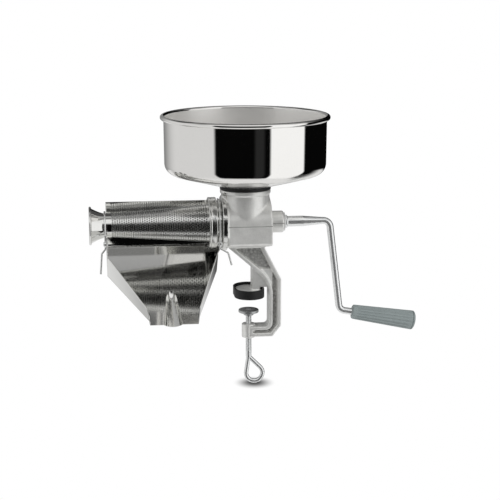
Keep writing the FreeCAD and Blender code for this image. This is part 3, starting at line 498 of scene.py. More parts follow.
@dataclass(frozen=True)
class PaintedShadowFloor(Finish):
    """Dark matt floor round a spot, a painted contact shadow, which turns to plain white away from
    it.

    Args:
        name: Name of the material.
        level: Grey of the floor round the spot, dark to paint the contact shadow there.
        rough: Its roughness.
        spot: The spot.
        fade: How far from the spot it turns white, and over what width, in metres.
    """

    name: str
    level: float
    rough: float
    spot: Triple
    fade: Pair

    def dress(self, sheet: Nodes, shader: bpy.types.Node) -> None:
        """A dark floor near the spot that paints a contact shadow and also keeps the real shadow,
        and glows white beyond.

        Args:
            sheet: The material's nodes.
            shader: Its shader.
        """
        # The dark grey base colour round the spot is a painted contact shadow.
        sheet.feed(shader, {"Base Color": (*grey(self.level), 1.0), "Roughness": self.rough,
                            "Specular IOR Level": 0.0})
        away = sheet.add("ShaderNodeVectorMath", {"operation": "DISTANCE"},
                         [self.place(sheet), self.spot], "Value")
        glow = sheet.add("ShaderNodeEmission", None, {"Color": (1, 1, 1, 1), "Strength": 1.0})
        mix = sheet.add("ShaderNodeMixShader", None,
                        [away.step(*self.fade), Sock(sheet, shader.outputs[0]), glow])
        sheet.feed(sheet.tree.nodes["Material Output"], {"Surface": mix})


class Palette:
    """The finishes of this mill."""

    MIRROR = BrightMetal("mirror_steel", (0.84, 0.83, 0.81), (0.90, 0.89, 0.87), 0.03, 0.03,
                         0.05 * MM, 300.0, 0.001 * MM, dull=0.36, matt=0.24)
    SHEET = BrightMetal("polished_sheet", (0.74, 0.74, 0.72), (0.84, 0.84, 0.82), 0.045, 0.05,
                        0.10 * MM, 300.0, 0.0012 * MM)
    COLLAR = BrightMetal("polished_collar", (0.80, 0.80, 0.78), (0.87, 0.87, 0.85), 0.22, 0.08,
                         0.05 * MM, 400.0, 0.003 * MM)
    PLATED = BrightMetal("zinc_plate", (0.78, 0.79, 0.79), (0.90, 0.91, 0.91), 0.13, 0.10,
                         0.05 * MM, 380.0, 0.008 * MM, metal=0.82)
    DARK = BrightMetal("dark_steel", (0.34, 0.35, 0.35), (0.50, 0.51, 0.51), 0.24, 0.12,
                       0.03 * MM, 500.0, 0.012 * MM, metal=0.85)
    WIRE = BrightMetal("drawn_wire", (0.74, 0.75, 0.74), (0.86, 0.86, 0.85), 0.14, 0.10,
                       0.02 * MM, 700.0, 0.01 * MM, metal=0.8)
    CASTING = CastAluminium("cast_aluminium", (0.26, 0.26, 0.25), (0.99, 0.99, 0.965), 0.34,
                            103.0 * MM, 0.58, 0.24)
    RUBBER = Moulded("black_rubber", grey(0.004), grey(0.016), 0.46, 1500.0, 0.05 * MM, 0.3)
    GRIP = Moulded("grip_plastic", (0.185, 0.215, 0.215), (0.245, 0.28, 0.28), 0.42, 1300.0,
                   0.05 * MM, 0.45)
    BUSH = Moulded("nylon_bush", grey(0.60), grey(0.72), 0.35, 1200.0, 0.03 * MM, 0.5)
    # The auger's dark grey is painted shade: it darkens the inside of the barrel and cone seen
    # through the strainer's holes.
    SHADED_AUGER = Moulded("auger_plastic", (0.20, 0.20, 0.19), (0.26, 0.26, 0.25), 0.38, 900.0,
                    0.05 * MM, 0.5)


def arc(centre: Pair, radius: float, start: float, end: float,
        steps: int) -> Profile:
    """Points along a circular arc.

    Args:
        centre: Middle of the circle.
        radius: Its radius.
        start: First angle in degrees.
        end: Last angle in degrees.
        steps: Number of steps.

    Returns:
        The points, both ends included.
    """
    angles = [math.radians(start + (end - start) * i / steps) for i in range(steps + 1)]
    return [(centre[0] + radius * math.cos(a), centre[1] + radius * math.sin(a)) for a in angles]


def placed(name: str, data: Any) -> bpy.types.Object:
    """A new object in the scene, at the origin.

    Args:
        name: Its name.
        data: Its mesh, lamp or camera.

    Returns:
        The object.
    """
    thing = bpy.data.objects.new(name, data)
    bpy.context.scene.collection.objects.link(thing)
    return thing


def baked(holder: bpy.types.Object, name: str) -> bpy.types.Mesh:
    """The plain mesh that an object's modifiers make; the object and its own mesh go.

    Args:
        holder: Object with the modifiers.
        name: Name of the mesh.

    Returns:
        The mesh.
    """
    source = holder.data
    seen = holder.evaluated_get(bpy.context.evaluated_depsgraph_get())
    mesh = bpy.data.meshes.new_from_object(seen)
    bpy.data.objects.remove(holder)
    bpy.data.meshes.remove(source)
    mesh.name = name
    return mesh


@contextmanager
def edited(mesh: bpy.types.Mesh) -> Iterator[bmesh.types.BMesh]:
    """Open a mesh for editing and write it back.

    Args:
        mesh: The mesh.

    Yields:
        Its editable form.
    """
    work = bmesh.new()
    work.from_mesh(mesh)
    yield work
    work.to_mesh(mesh)
    work.free()


def smooth(mesh: bpy.types.Mesh, degrees: float = SHARP_DEG) -> bpy.types.Mesh:
    """Shade a mesh smooth.

    Args:
        mesh: The mesh.
        degrees: Edges that turn by more than this stay sharp.

    Returns:
        The same mesh.
    """
    mesh.shade_smooth()
    mesh.set_sharp_from_angle(angle=math.radians(degrees))
    return mesh


def mesh_of(name: str, points: Iterable[Vector],
            faces: Iterable[Sequence[int]]) -> bpy.types.Mesh:
    """A smooth mesh with doubles merged and faces turned outwards.

    Args:
        name: Name of the mesh.
        points: Its points.
        faces: Its faces, as numbers of points.

    Returns:
        The mesh.
    """
    mesh = bpy.data.meshes.new(name)
    mesh.from_pydata([tuple(p) for p in points], [], [tuple(f) for f in faces])
    with edited(mesh) as work:
        bmesh.ops.remove_doubles(work, verts=work.verts, dist=DOUBLES)
        bmesh.ops.recalc_face_normals(work, faces=work.faces)
    return smooth(mesh)


def turned(name: str, profile: Profile, origin: Vector, axis: Axis,
           sides: int = 96) -> bpy.types.Mesh:
    """A piece turned about an axis from a closed section.

    Args:
        name: Name of the mesh.
        profile: Closed loop of (radius, height along the axis).
        origin: Point on the axis where the height is zero.
        axis: Direction of the axis.
        sides: Number of sides round.

    Returns:
        The mesh.
    """
    way = axis.way
    across = way.orthogonal().normalized()
    other = way.cross(across)
    count = len(profile)
    points, faces = [], []
    for i in range(sides):
        a = 2 * math.pi * i / sides
        out = across * math.cos(a) + other * math.sin(a)
        points += [origin + out * r + way * h for r, h in profile]
        here, there = i * count, (i + 1) % sides * count
        for j in range(count):
            k = (j + 1) % count
            if max(profile[j][0], profile[k][0]) > ON_AXIS:
                faces.append((here + j, here + k, there + k, there + j))
    return mesh_of(name, points, faces)


def swept(name: str, path: Sequence[Vector], radii: Sequence[float],
          sides: int) -> bpy.types.Mesh:
    """A round rod along a path, its radius given at each point, with flat ends.

    Args:
        name: Name of the mesh.
        path: Points of the centre line.
        radii: Radius at each point.
        sides: Number of sides round.

    Returns:
        The mesh.
    """
    points, faces = [], []
    last = len(path) - 1
    ways = [(path[min(i + 1, last)] - path[max(i - 1, 0)]).normalized() for i in range(last + 1)]
    across = ways[0].orthogonal().normalized()
    for centre, way, radius in zip(path, ways, radii):
        across = (across - way * across.dot(way)).normalized()
        other = way.cross(across)
        for i in range(sides):
            a = 2 * math.pi * i / sides
            points.append(centre + (across * math.cos(a) + other * math.sin(a)) * radius)
    for base in range(0, last * sides, sides):
        for i in range(sides):
            j = (i + 1) % sides
            faces.append((base + i, base + j, base + sides + j, base + sides + i))
    faces += [range(sides), range(last * sides, last * sides + sides)]
    return mesh_of(name, points, faces)


def bent(corners: Sequence[Vector], radius: float, steps: int = 10) -> list[Vector]:
    """A line through corners with each inner corner rounded.

    Args:
        corners: Corner points.
        radius: Bend radius of the centre line.
        steps: Points along each bend.

    Returns:
        The points of the rounded line.
    """
    line = [corners[0]]
    for before, corner, after in zip(corners, corners[1:], corners[2:]):
        back, ahead = (before - corner).normalized(), (after - corner).normalized()
        half = back.angle(ahead) / 2
        hub = corner + (back + ahead).normalized() * (radius / math.sin(half))
        start = corner + back * (radius / math.tan(half)) - hub
        turn = math.pi - 2 * half
        normal = back.cross(ahead).normalized()
        line += [hub + Matrix.Rotation(-turn * i / steps, 3, normal) @ start
                 for i in range(steps + 1)]
    return line + [corners[-1]]


def joined(name: str, meshes: Sequence[bpy.types.Mesh]) -> bpy.types.Mesh:
    """Several meshes as one; they are used up.

    Args:
        name: Name of the mesh.
        meshes: What it is made of.

    Returns:
        The mesh.
    """
    work = bmesh.new()
    for mesh in meshes:
        work.from_mesh(mesh)
        bpy.data.meshes.remove(mesh)
    whole = bpy.data.meshes.new(name)
    work.to_mesh(whole)
    work.free()
    return smooth(whole)


def copied(node: str, name: str) -> bpy.types.Mesh:
    """A copy of a CAD node's mesh with its triangles joined up.

    Args:
        node: CAD node that is copied.
        name: Name of the mesh.

    Returns:
        The mesh.
    """
    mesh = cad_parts[node].data.copy()
    mesh.name = name
    with edited(mesh) as work:
        bmesh.ops.remove_doubles(work, verts=work.verts, dist=CAD_DOUBLES)
    mesh.materials.clear()
    return smooth(mesh)


def flattened(mesh: bpy.types.Mesh) -> bpy.types.Mesh:
    """A sheet with its normals weighted by area, so that its flat faces mirror as flat.

    Args:
        mesh: The sheet, which is used up.

    Returns:
        The new sheet, of the same name.
    """
    holder = placed(mesh.name, mesh)
    weigh = holder.modifiers.new("weigh", "WEIGHTED_NORMAL")
    weigh.mode, weigh.weight, weigh.keep_sharp = "FACE_AREA", 100, True
    return baked(holder, mesh.name)


def softened(node: str, name: str, voxel: float, passes: int) -> bpy.types.Mesh:
    """A copy of a CAD node with its edges rounded, as on a casting, forging or moulding.

    Args:
        node: CAD node that is copied.
        name: Name of the mesh, without its ending.
        voxel: Size of the new faces in metres.
        passes: How many times the surface is relaxed.

    Returns:
        The mesh.
    """
    holder = placed(name, copied(node, name))
    skin = holder.modifiers.new("skin", "REMESH")
    skin.mode, skin.voxel_size = "VOXEL", voxel
    ease = holder.modifiers.new("ease", "SMOOTH")
    ease.factor, ease.iterations = RELAX, passes
    mesh = baked(holder, name + "_skin")
    mesh.shade_smooth()
    return mesh


def along(origin: Vector, way: Vector) -> Matrix:
    """The placing that lays the Z axis along a direction from a point."""
    turn = Axis.UP.way.rotation_difference(way.normalized())
    return Matrix.Translation(origin) @ turn.to_matrix().to_4x4()


def show(mesh: bpy.types.Mesh, finish: Finish, body: str, node: str) -> None:
    """Put a finished mesh in the scene as a piece.

    Args:
        mesh: The mesh, in place.
        finish: Its finish.
        body: CAD body that it rides on.
        node: CAD node that it stands for.
    """
    piece = placed(mesh.name, mesh)
    mesh.materials.clear()
    mesh.materials.append(finish.material())
    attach(piece, body)
    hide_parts(node)
    LOG.info("%s: %d faces on %s", piece.name, len(mesh.polygons), body)


@dataclass
class Hopper:
    """Spun bowl with a rolled rim, its neck and the black seal under it, which paints the shade in
    the gap between the bowl and the throat.
    """

    wall: float = 1.2 * MM
    corner: float = 15.0 * MM
    corner_steps: int = 12
    bead: float = 3.2 * MM
    bead_deg: Pair = (242.0, 540.0)
    bead_steps: int = 20
    floor_deg: float = 15.0
    neck_lap: float = 0.3  # how far the floor laps over the neck, as a share of the wall
    sides: int = 192
    # A face is inside where its tilt inwards and a share of its tilt up come to this much.
    up_share: float = 0.5
    inside_from: float = 0.2
    # A face that looks down by this much is marked more weakly.
    under_from: float = -0.3
    under_mark: float = 0.3
    seal_voxel: float = 0.5 * MM
    seal_passes: int = 4

    def bowl(self) -> bpy.types.Mesh:
        """The bowl's wall, floor and rim as one turned shell.

        Returns:
            The mesh, with its inside marked.
        """
        low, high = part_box("hopper_bowl")
        neck_low, neck_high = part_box("hopper_neck")
        outer = (high.x - low.x) / 2 - 2 * self.bead + self.wall
        neck_r = (neck_high.x - neck_low.x) / 2
        lean = math.radians(self.floor_deg)
        centre_r = outer - self.corner
        low_r = centre_r + self.corner * math.sin(lean)
        low_z = low.z + (low_r - neck_r) * math.tan(lean)
        centre = (centre_r, low_z + self.corner * math.cos(lean))
        rim = (outer - self.wall + self.bead, high.z - self.bead)
        foot, steps = self.floor_deg - 90, self.corner_steps
        profile = [(neck_r, low.z)]
        profile += arc(centre, self.corner, foot, 0, steps)
        profile += arc(rim, self.bead, *self.bead_deg, self.bead_steps)
        profile += arc(centre, self.corner - self.wall, 0, foot, steps)
        profile += [(neck_r - self.wall * self.neck_lap, low.z + self.wall)]
        origin = Vector(((low.x + high.x) / 2, 0, 0))
        shell = turned("hopper_shell", profile, origin, Axis.UP, self.sides)
        self.mark_inside(shell, origin, high.z - 2 * self.bead)
        return shell

    def mark_inside(self, shell: bpy.types.Mesh, origin: Vector, top: float) -> None:
        """Mark the faces below the rim that look at the bowl's axis or up, and its underside less.

        Args:
            shell: The bowl's mesh.
            origin: A point on its axis.
            top: Height where the rim begins.
        """
        marks = shell.attributes.new(INSIDE, "FLOAT", "FACE")
        for face in shell.polygons:
            out = face.center - origin
            out.z = 0.0
            inwards = face.normal.z * self.up_share - face.normal.dot(out.normalized())
            under = self.under_mark * (face.normal.z < self.under_from)
            mark = max(float(inwards > self.inside_from), under)
            marks.data[face.index].value = mark if face.center.z < top else 0.0

    def build(self) -> None:
        """Make and dress the hopper's pieces."""
        show(self.bowl(), Palette.MIRROR, "hopper_body", "hopper_bowl")
        show(copied("hopper_neck", "hopper_tube"), Palette.COLLAR, "hopper_body",
             "hopper_neck")
        # The black seal ring paints the shade in the gap between the bowl's neck and the throat.
        show(softened("throat_seal", "hopper_shade_seal", self.seal_voxel, self.seal_passes),
             Palette.RUBBER, "hopper_body", "throat_seal")


@dataclass
class Casting:
    """The aluminium body with its rubber boot and its bush."""

    voxel: float = 0.94 * MM
    passes: int = 5
    boot_voxel: float = 0.6 * MM
    boot_passes: int = 8
    web_half: float = 4.6 * MM
    web_top: float = 68.0 * MM
    web_tilt: float = 0.5
    flange_x: float = -31.4 * MM

    def body(self) -> bpy.types.Mesh:
        """The body, with the leg's recessed web and the turned flange marked.

        Returns:
            The mesh.
        """
        mesh = softened("body_casting", "mill_body", self.voxel, self.passes)
        web, flange = [], []
        for face in mesh.polygons:
            recessed = abs(face.center.y) < self.web_half and face.center.z < self.web_top
            web.append(float(recessed and abs(face.normal.y) > self.web_tilt))
            flange.append(float(face.center.x < self.flange_x))
        for name, marks in ((WEB, web), (TURNED, flange)):
            mesh.attributes.new(name, "FLOAT", "FACE").data.foreach_set("value", marks)
        return mesh

    def build(self) -> None:
        """Make and dress the casting's pieces."""
        show(self.body(), Palette.CASTING, "frame_body", "body_casting")
        show(softened("jaw_pad", "jaw_boot", self.boot_voxel, self.boot_passes), Palette.RUBBER,
             "frame_body", "jaw_pad")
        show(copied("shaft_bush", "bearing_bush"), Palette.BUSH, "frame_body",
             "shaft_bush")


@dataclass
class Strainer:
    """Perforated cone, its collar with pins and the waste funnel."""

    axis_z: float = 103.0 * MM
    big_x: float = -54.0 * MM
    small_x: float = -188.0 * MM
    big_r: float = 25.8 * MM
    small_r: float = 15.9 * MM
    wall: float = 0.8 * MM
    first_x: float = -58.0 * MM
    last_x: float = -186.6 * MM
    rows: int = 42
    columns: int = 46
    hole: float = 0.36  # radius, as a share of a cell
    weld: float = 0.02 * MM  # how near points of neighbouring cells become one
    collar: Pair = (-56.0 * MM, -45.0 * MM)
    collar_r: float = 35.5 * MM
    collar_ease: float = 1.2 * MM
    collar_face: float = 2.0 * MM  # thickness of its end face
    collar_gap: float = 0.1 * MM  # between its bore and the cone
    collar_sides: int = 128
    ease_steps: int = 6
    socket_r: float = 31.1 * MM
    groove_x: float = -2.2 * MM  # from the collar's middle
    groove_half: float = 0.9 * MM
    groove_depth: float = 0.4 * MM
    pin_count: int = 3
    pin_x: float = -48.5 * MM
    pin_deg: float = 202.0
    pin_r: float = 1.8 * MM
    pin_root: float = -4.0 * MM  # from the collar's surface, as is the dome's foot
    pin_rise: float = 0.2 * MM
    pin_dome: float = 0.45  # its height, as a share of the radius
    pin_sides: int = 24
    neck_x: float = -197.3 * MM
    neck_r: float = 16.9 * MM
    lap_x: float = -187.0 * MM
    mouth_x: float = -215.3 * MM
    mouth_r: float = 24.5 * MM
    sleeve: float = 0.9 * MM  # wall of the funnel
    flare: float = 1.35  # power of its curve
    flare_steps: int = 10
    bead: float = 1.6 * MM
    bead_deg: Pair = (60.0, -200.0)
    bead_steps: int = 14

    def on_axis(self) -> Vector:
        """A point on the crank axis."""
        return Vector((0, 0, self.axis_z))

    def radius(self, x: Any) -> Any:
        """Outer radius of the cone at a station, for a number or a socket."""
        slope = (self.small_r - self.big_r) / (self.big_x - self.small_x)
        return (self.big_x - x) * slope + self.big_r

    def tile(self) -> bpy.types.Mesh:
        """One unit cell of the perforated sheet with its hole, open at its sides.

        Returns:
            The mesh.
        """
        h = 0.5
        rim = [(-h, -h), (0, -h), (h, -h), (h, 0), (h, h), (0, h), (-h, h), (-h, 0)]
        count = len(rim)
        hole = arc((0.0, 0.0), self.hole, -135, 180, count - 1)
        points = [Vector((u, v, w)) for w in (0.0, -self.wall) for u, v in rim + hole]
        faces, low = [], 2 * count
        for i in range(count):
            j = (i + 1) % count
            faces.append((i, j, count + j, count + i))
            faces.append((count + i, count + j, low + count + j, low + count + i))
            faces.append((low + count + i, low + count + j, low + j, low + i))
        return mesh_of("strainer_tile", points, faces)

    def sheet(self) -> bpy.types.Mesh:
        """The perforated cone: cells on a staggered grid, rolled into shape.

        Returns:
            The mesh.
        """
        rule = GeoTree("strainer_sheet")
        columns = rule.value("Columns", self.columns)
        rows = rule.value("Rows", self.rows)
        pitch = rule.value("Pitch", abs(self.last_x - self.first_x) / self.rows)
        grid = rule.sheet.add("GeometryNodeMeshGrid", None,
                              {"Size X": columns - 1, "Size Y": rows - 1,
                               "Vertices X": columns, "Vertices Y": rows})
        u, v, w = rule.place()
        parity = (v + rows * 0.5).call("FLOOR").call("FLOORED_MODULO", 2)
        points = rule.moved(grid, u + parity * 0.5, v, w)
        cells = rule.sheet.add("GeometryNodeInstanceOnPoints", None,
                               {"Points": points, "Instance": rule.source()})
        flat = rule.sheet.add("GeometryNodeRealizeInstances", None, [cells])
        u, v, w = rule.place()
        x = (self.first_x + self.last_x) / 2 - v * pitch
        r = self.radius(x) + w
        angle = u * (2 * math.pi) / columns
        rolled = rule.moved(flat, x, r * angle.call("SINE"),
                            r * angle.call("COSINE") + self.axis_z)
        welded = rule.sheet.add("GeometryNodeMergeByDistance", None,
                                {"Geometry": rolled, "Distance": self.weld})
        return self.closed(rule.run(self.tile(), welded, Palette.COLLAR))

    def closed(self, mesh: bpy.types.Mesh) -> bpy.types.Mesh:
        """Close the rolled sheet's two ends between its inner and outer faces.

        Args:
            mesh: The sheet.

        Returns:
            The same mesh.
        """
        middle = (self.first_x + self.last_x) / 2
        with edited(mesh) as work:
            for side in (1, -1):
                rim = [edge for edge in work.edges
                       if edge.is_boundary and (edge.verts[0].co.x - middle) * side > 0]
                bmesh.ops.bridge_loops(work, edges=rim)
            bmesh.ops.recalc_face_normals(work, faces=work.faces)
        return smooth(mesh)

    def band(self, name: str, start: float, end: float) -> bpy.types.Mesh:
        """A plain stretch of the cone at one of its ends.

        Args:
            name: Name of the mesh.
            start: Station where it begins.
            end: Station where it ends.

        Returns:
            The mesh.
        """
        outside = [(self.radius(x), x) for x in (start, end)]
        inside = [(r - self.wall, x) for r, x in reversed(outside)]
        return turned(name, outside + inside, self.on_axis(), Axis.CRANK, self.columns)

    def collar_ring(self) -> bpy.types.Mesh:
        """Polished collar with eased edges and a shallow groove.

        Returns:
            The mesh.
        """
        left, right = self.collar
        r, ease, steps = self.collar_r, self.collar_ease, self.ease_steps
        bore, back = self.big_r + self.collar_gap, left + self.collar_face
        groove = (left + right) / 2 + self.groove_x
        profile = [(bore, left)]
        profile += arc((r - ease, left + ease), ease, 270, 360, steps)
        profile += [(r, groove - self.groove_half), (r - self.groove_depth, groove),
                    (r, groove + self.groove_half)]
        profile += arc((r - ease, right - ease), ease, 0, 90, steps)
        profile += [(self.socket_r, right), (self.socket_r, back), (bore, back)]
        return turned("strainer_collar", profile, self.on_axis(), Axis.CRANK, self.collar_sides)

    def funnel(self) -> bpy.types.Mesh:
        """Sleeve that flares like a trumpet to a beaded mouth.

        Returns:
            The mesh.
        """
        taper = self.radius(self.lap_x) - self.small_r
        shares = [i / self.flare_steps for i in range(self.flare_steps + 1)]
        outside = [(self.neck_r + taper, self.lap_x)]
        outside += [(self.neck_r + (self.mouth_r - self.neck_r) * s ** self.flare,
                     self.neck_x + (self.mouth_x - self.neck_x) * s) for s in shares]
        inside = [(r - self.sleeve, x) for r, x in outside]
        bead = arc((self.mouth_r, self.mouth_x), self.bead, *self.bead_deg, self.bead_steps)
        profile = outside[:-1] + bead + inside[-2::-1]
        return turned("waste_trumpet", profile, self.on_axis(), Axis.CRANK)

    def pins(self) -> bpy.types.Mesh:
        """Domed pins round the collar.

        Returns:
            The mesh.
        """
        rule = GeoTree("collar_pins")
        count = rule.value("Pins", self.pin_count)
        ring = rule.value("Ring", self.collar_r)
        circle = rule.sheet.add("GeometryNodeMeshCircle", None,
                                {"Vertices": count, "Radius": ring})
        where = rule.sheet.add("GeometryNodeInputPosition")
        turn = rule.sheet.add("FunctionNodeAlignRotationToVector", {"axis": "Z"},
                              {"Vector": where})
        pins = rule.sheet.add("GeometryNodeInstanceOnPoints", None,
                              {"Points": circle, "Instance": rule.source(), "Rotation": turn})
        r, root, rise = self.pin_r, self.pin_root, self.pin_rise
        profile = [(0.0, root), (r, root), (r, rise)]
        profile += [(x, rise + z * self.pin_dome)
                    for x, z in arc((0.0, 0.0), r, 0, 90, self.ease_steps)]
        pin = turned("collar_pin", profile, Vector(), Axis.UP, self.pin_sides)
        mesh = rule.run(pin, pins, Palette.PLATED)
        a = math.radians(self.pin_deg)
        out = Vector((0, math.cos(a), -math.sin(a)))
        aside = Vector((0, -math.sin(a), -math.cos(a)))
        turn_to = Matrix((out, aside, out.cross(aside))).transposed().to_4x4()
        mesh.transform(Matrix.Translation(Vector((self.pin_x, 0, self.axis_z))) @ turn_to)
        return mesh

    def build(self) -> None:
        """Make and dress the strainer's pieces."""
        cone = [self.sheet(), self.band("big_band", self.first_x, self.big_x),
                self.band("small_band", self.small_x, self.last_x)]
        show(joined("strainer_cone", cone), Palette.COLLAR, "frame_body",
             "screen_cone")
        show(self.collar_ring(), Palette.COLLAR, "frame_body", "screen_collar")
        show(self.funnel(), Palette.SHEET, "frame_body", "waste_funnel")
        show(self.pins(), Palette.PLATED, "frame_body", "bayonet_pins")
        show(copied("screen_gasket", "collar_gasket"), Palette.RUBBER, "frame_body",
             "screen_gasket")


@dataclass
class Chute:
    """Sheet pan with two end plates, rolled edges and the wire hooks on their rivets."""

    slope_deg: float = 38.0
    lip: Vector = field(default_factory=lambda: Vector((0.0, -69.4, -19.7)) * MM)
    # Each end plate's x, the run up the floor where it draws in, and its x at the lip.
    left: Triple = (-193.4 * MM, 86.0 * MM, -139.4 * MM)
    right: Triple = (-44.3 * MM, 90.0 * MM, -75.6 * MM)
    # Run and height of the plates' low corner, and of their end at the lip.
    rise: Pair = (12.0 * MM, 20.0 * MM)
    edge_end: Pair = (0.5 * MM, 2.0 * MM)
    lip_flat: float = 6.0 * MM
    knee_height: float = 40.0 * MM
    # The lugs' front y, foot and top.
    lug: Triple = (-42.0 * MM, 74.0 * MM, 92.0 * MM)
    edge_r: float = 0.8 * MM
    edge_bend: float = 2.0 * MM
    edge_sides: int = 12
    spout_x: float = -109.0 * MM
    spout_half: float = 14.0 * MM
    spout_len: float = 58.0 * MM
    spout_height: float = 1.2 * MM
    spout_taper: float = 0.55
    crease_deg: float = 15.0
    # How far the floor's normals lean, at the lip and at the fold, and the run between them.
    lean_deg: Pair = (9.5, 4.0)
    lean_run: float = 131.0 * MM
    # How much a face looks off the floor to lean at all and to count as flat; others are spout.
    lean_face: float = 0.5
    flat_face: float = 0.9995
    spout_lean: float = 0.45  # share of the lean that the spout takes
    rivet_voxel: float = 0.25 * MM
    hook_voxel: float = 0.32 * MM
    passes: int = 3

    def ways(self) -> tuple[Vector, Vector]:
        """The directions up the floor and off it."""
        a = math.radians(self.slope_deg)
        return Vector((0, math.cos(a), math.sin(a))), Vector((0, -math.sin(a), math.cos(a)))

    def on_floor(self, x: float, run: float, height: float) -> Vector:
        """A point at an X, a run up the floor from the lip and a height off the floor."""
        uphill, off = self.ways()
        return self.lip + Vector((x, 0, 0)) + uphill * run + off * height

    def pan(self) -> bpy.types.Mesh:
        """The pan with its pressed spout drawn narrower towards its upper end.

        Returns:
            The mesh.
        """
        mesh = copied("chute_pan", "pan_sheet")
        uphill, off = self.ways()
        for point in mesh.vertices:
            apart = point.co - self.lip
            run, height, aside = apart.dot(uphill), apart.dot(off), point.co.x - self.spout_x
            pressed = height < self.spout_height and abs(aside) < self.spout_half
            if pressed and run < self.spout_len:
                drawn = self.spout_taper * max(run, 0) / self.spout_len
                point.co.x = self.spout_x + aside * (1 - drawn)
        return smooth(mesh, self.crease_deg)

    def leant(self, mesh: bpy.types.Mesh) -> bpy.types.Mesh:
        """Lean the floor's normals, so that it mirrors as a floor that flattens to its lip.

        Args:
            mesh: The pan.

        Returns:
            The same mesh.
        """
        uphill, off = self.ways()
        low, high = self.lean_deg
        normals = [Vector(corner.vector) for corner in mesh.corner_normals]
        for face in mesh.polygons:
            facing = face.normal.dot(off)
            beyond = (face.center - self.lip).dot(uphill) > self.lean_run
            if facing < self.lean_face or beyond:
                continue
            share = 1.0 if facing > self.flat_face else self.spout_lean
            for corner, point in zip(face.loop_indices, face.vertices):
                run = (mesh.vertices[point].co - self.lip).dot(uphill)
                lean = math.radians(low + (high - low) * run / self.lean_run) * share
                normals[corner].rotate(Matrix.Rotation(-lean, 3, "X"))
        mesh.normals_split_custom_set(normals)
        return mesh

    def front_edge(self, name: str, x: float, knee: float, lip_x: float) -> bpy.types.Mesh:
        """Rolled edge down the front of one end plate.

        Args:
            name: Name of the mesh.
            x: Where the plate's upright stretch is.
            knee: Run up the floor where the plate draws in.
            lip_x: Where the plate meets the lip.

        Returns:
            The mesh.
        """
        front_y, foot_z, top_z = self.lug
        run, height = self.rise
        low_x = lip_x + (x - lip_x) * (run - self.lip_flat) / (knee - self.lip_flat)
        corners = [Vector((x, front_y, top_z)), Vector((x, front_y, foot_z)),
                   self.on_floor(x, knee, self.knee_height), self.on_floor(low_x, run, height),
                   self.on_floor(lip_x, *self.edge_end)]
        path = bent(corners, self.edge_bend)
        return swept(name, path, [self.edge_r] * len(path), self.edge_sides)

    def build(self) -> None:
        """Make and dress the chute's pieces."""
        show(self.leant(flattened(self.pan())), Palette.SHEET, "frame_body",
             "chute_pan")
        for node, line in (("chute_left_end", self.left), ("chute_right_end", self.right)):
            sheets = [copied(node, node + "_flat"), self.front_edge(node + "_edge", *line)]
            show(flattened(joined(node + "_plate", sheets)), Palette.SHEET, "frame_body",
                 node)
        show(softened("hook_pins", "hook_rivets", self.rivet_voxel, self.passes),
             Palette.PLATED, "frame_body", "hook_pins")
        for side in ("left", "right"):
            show(softened(side + "_hook", side + "_wire", self.hook_voxel, self.passes),
                 Palette.WIRE, side + "_hook_body", side + "_hook")


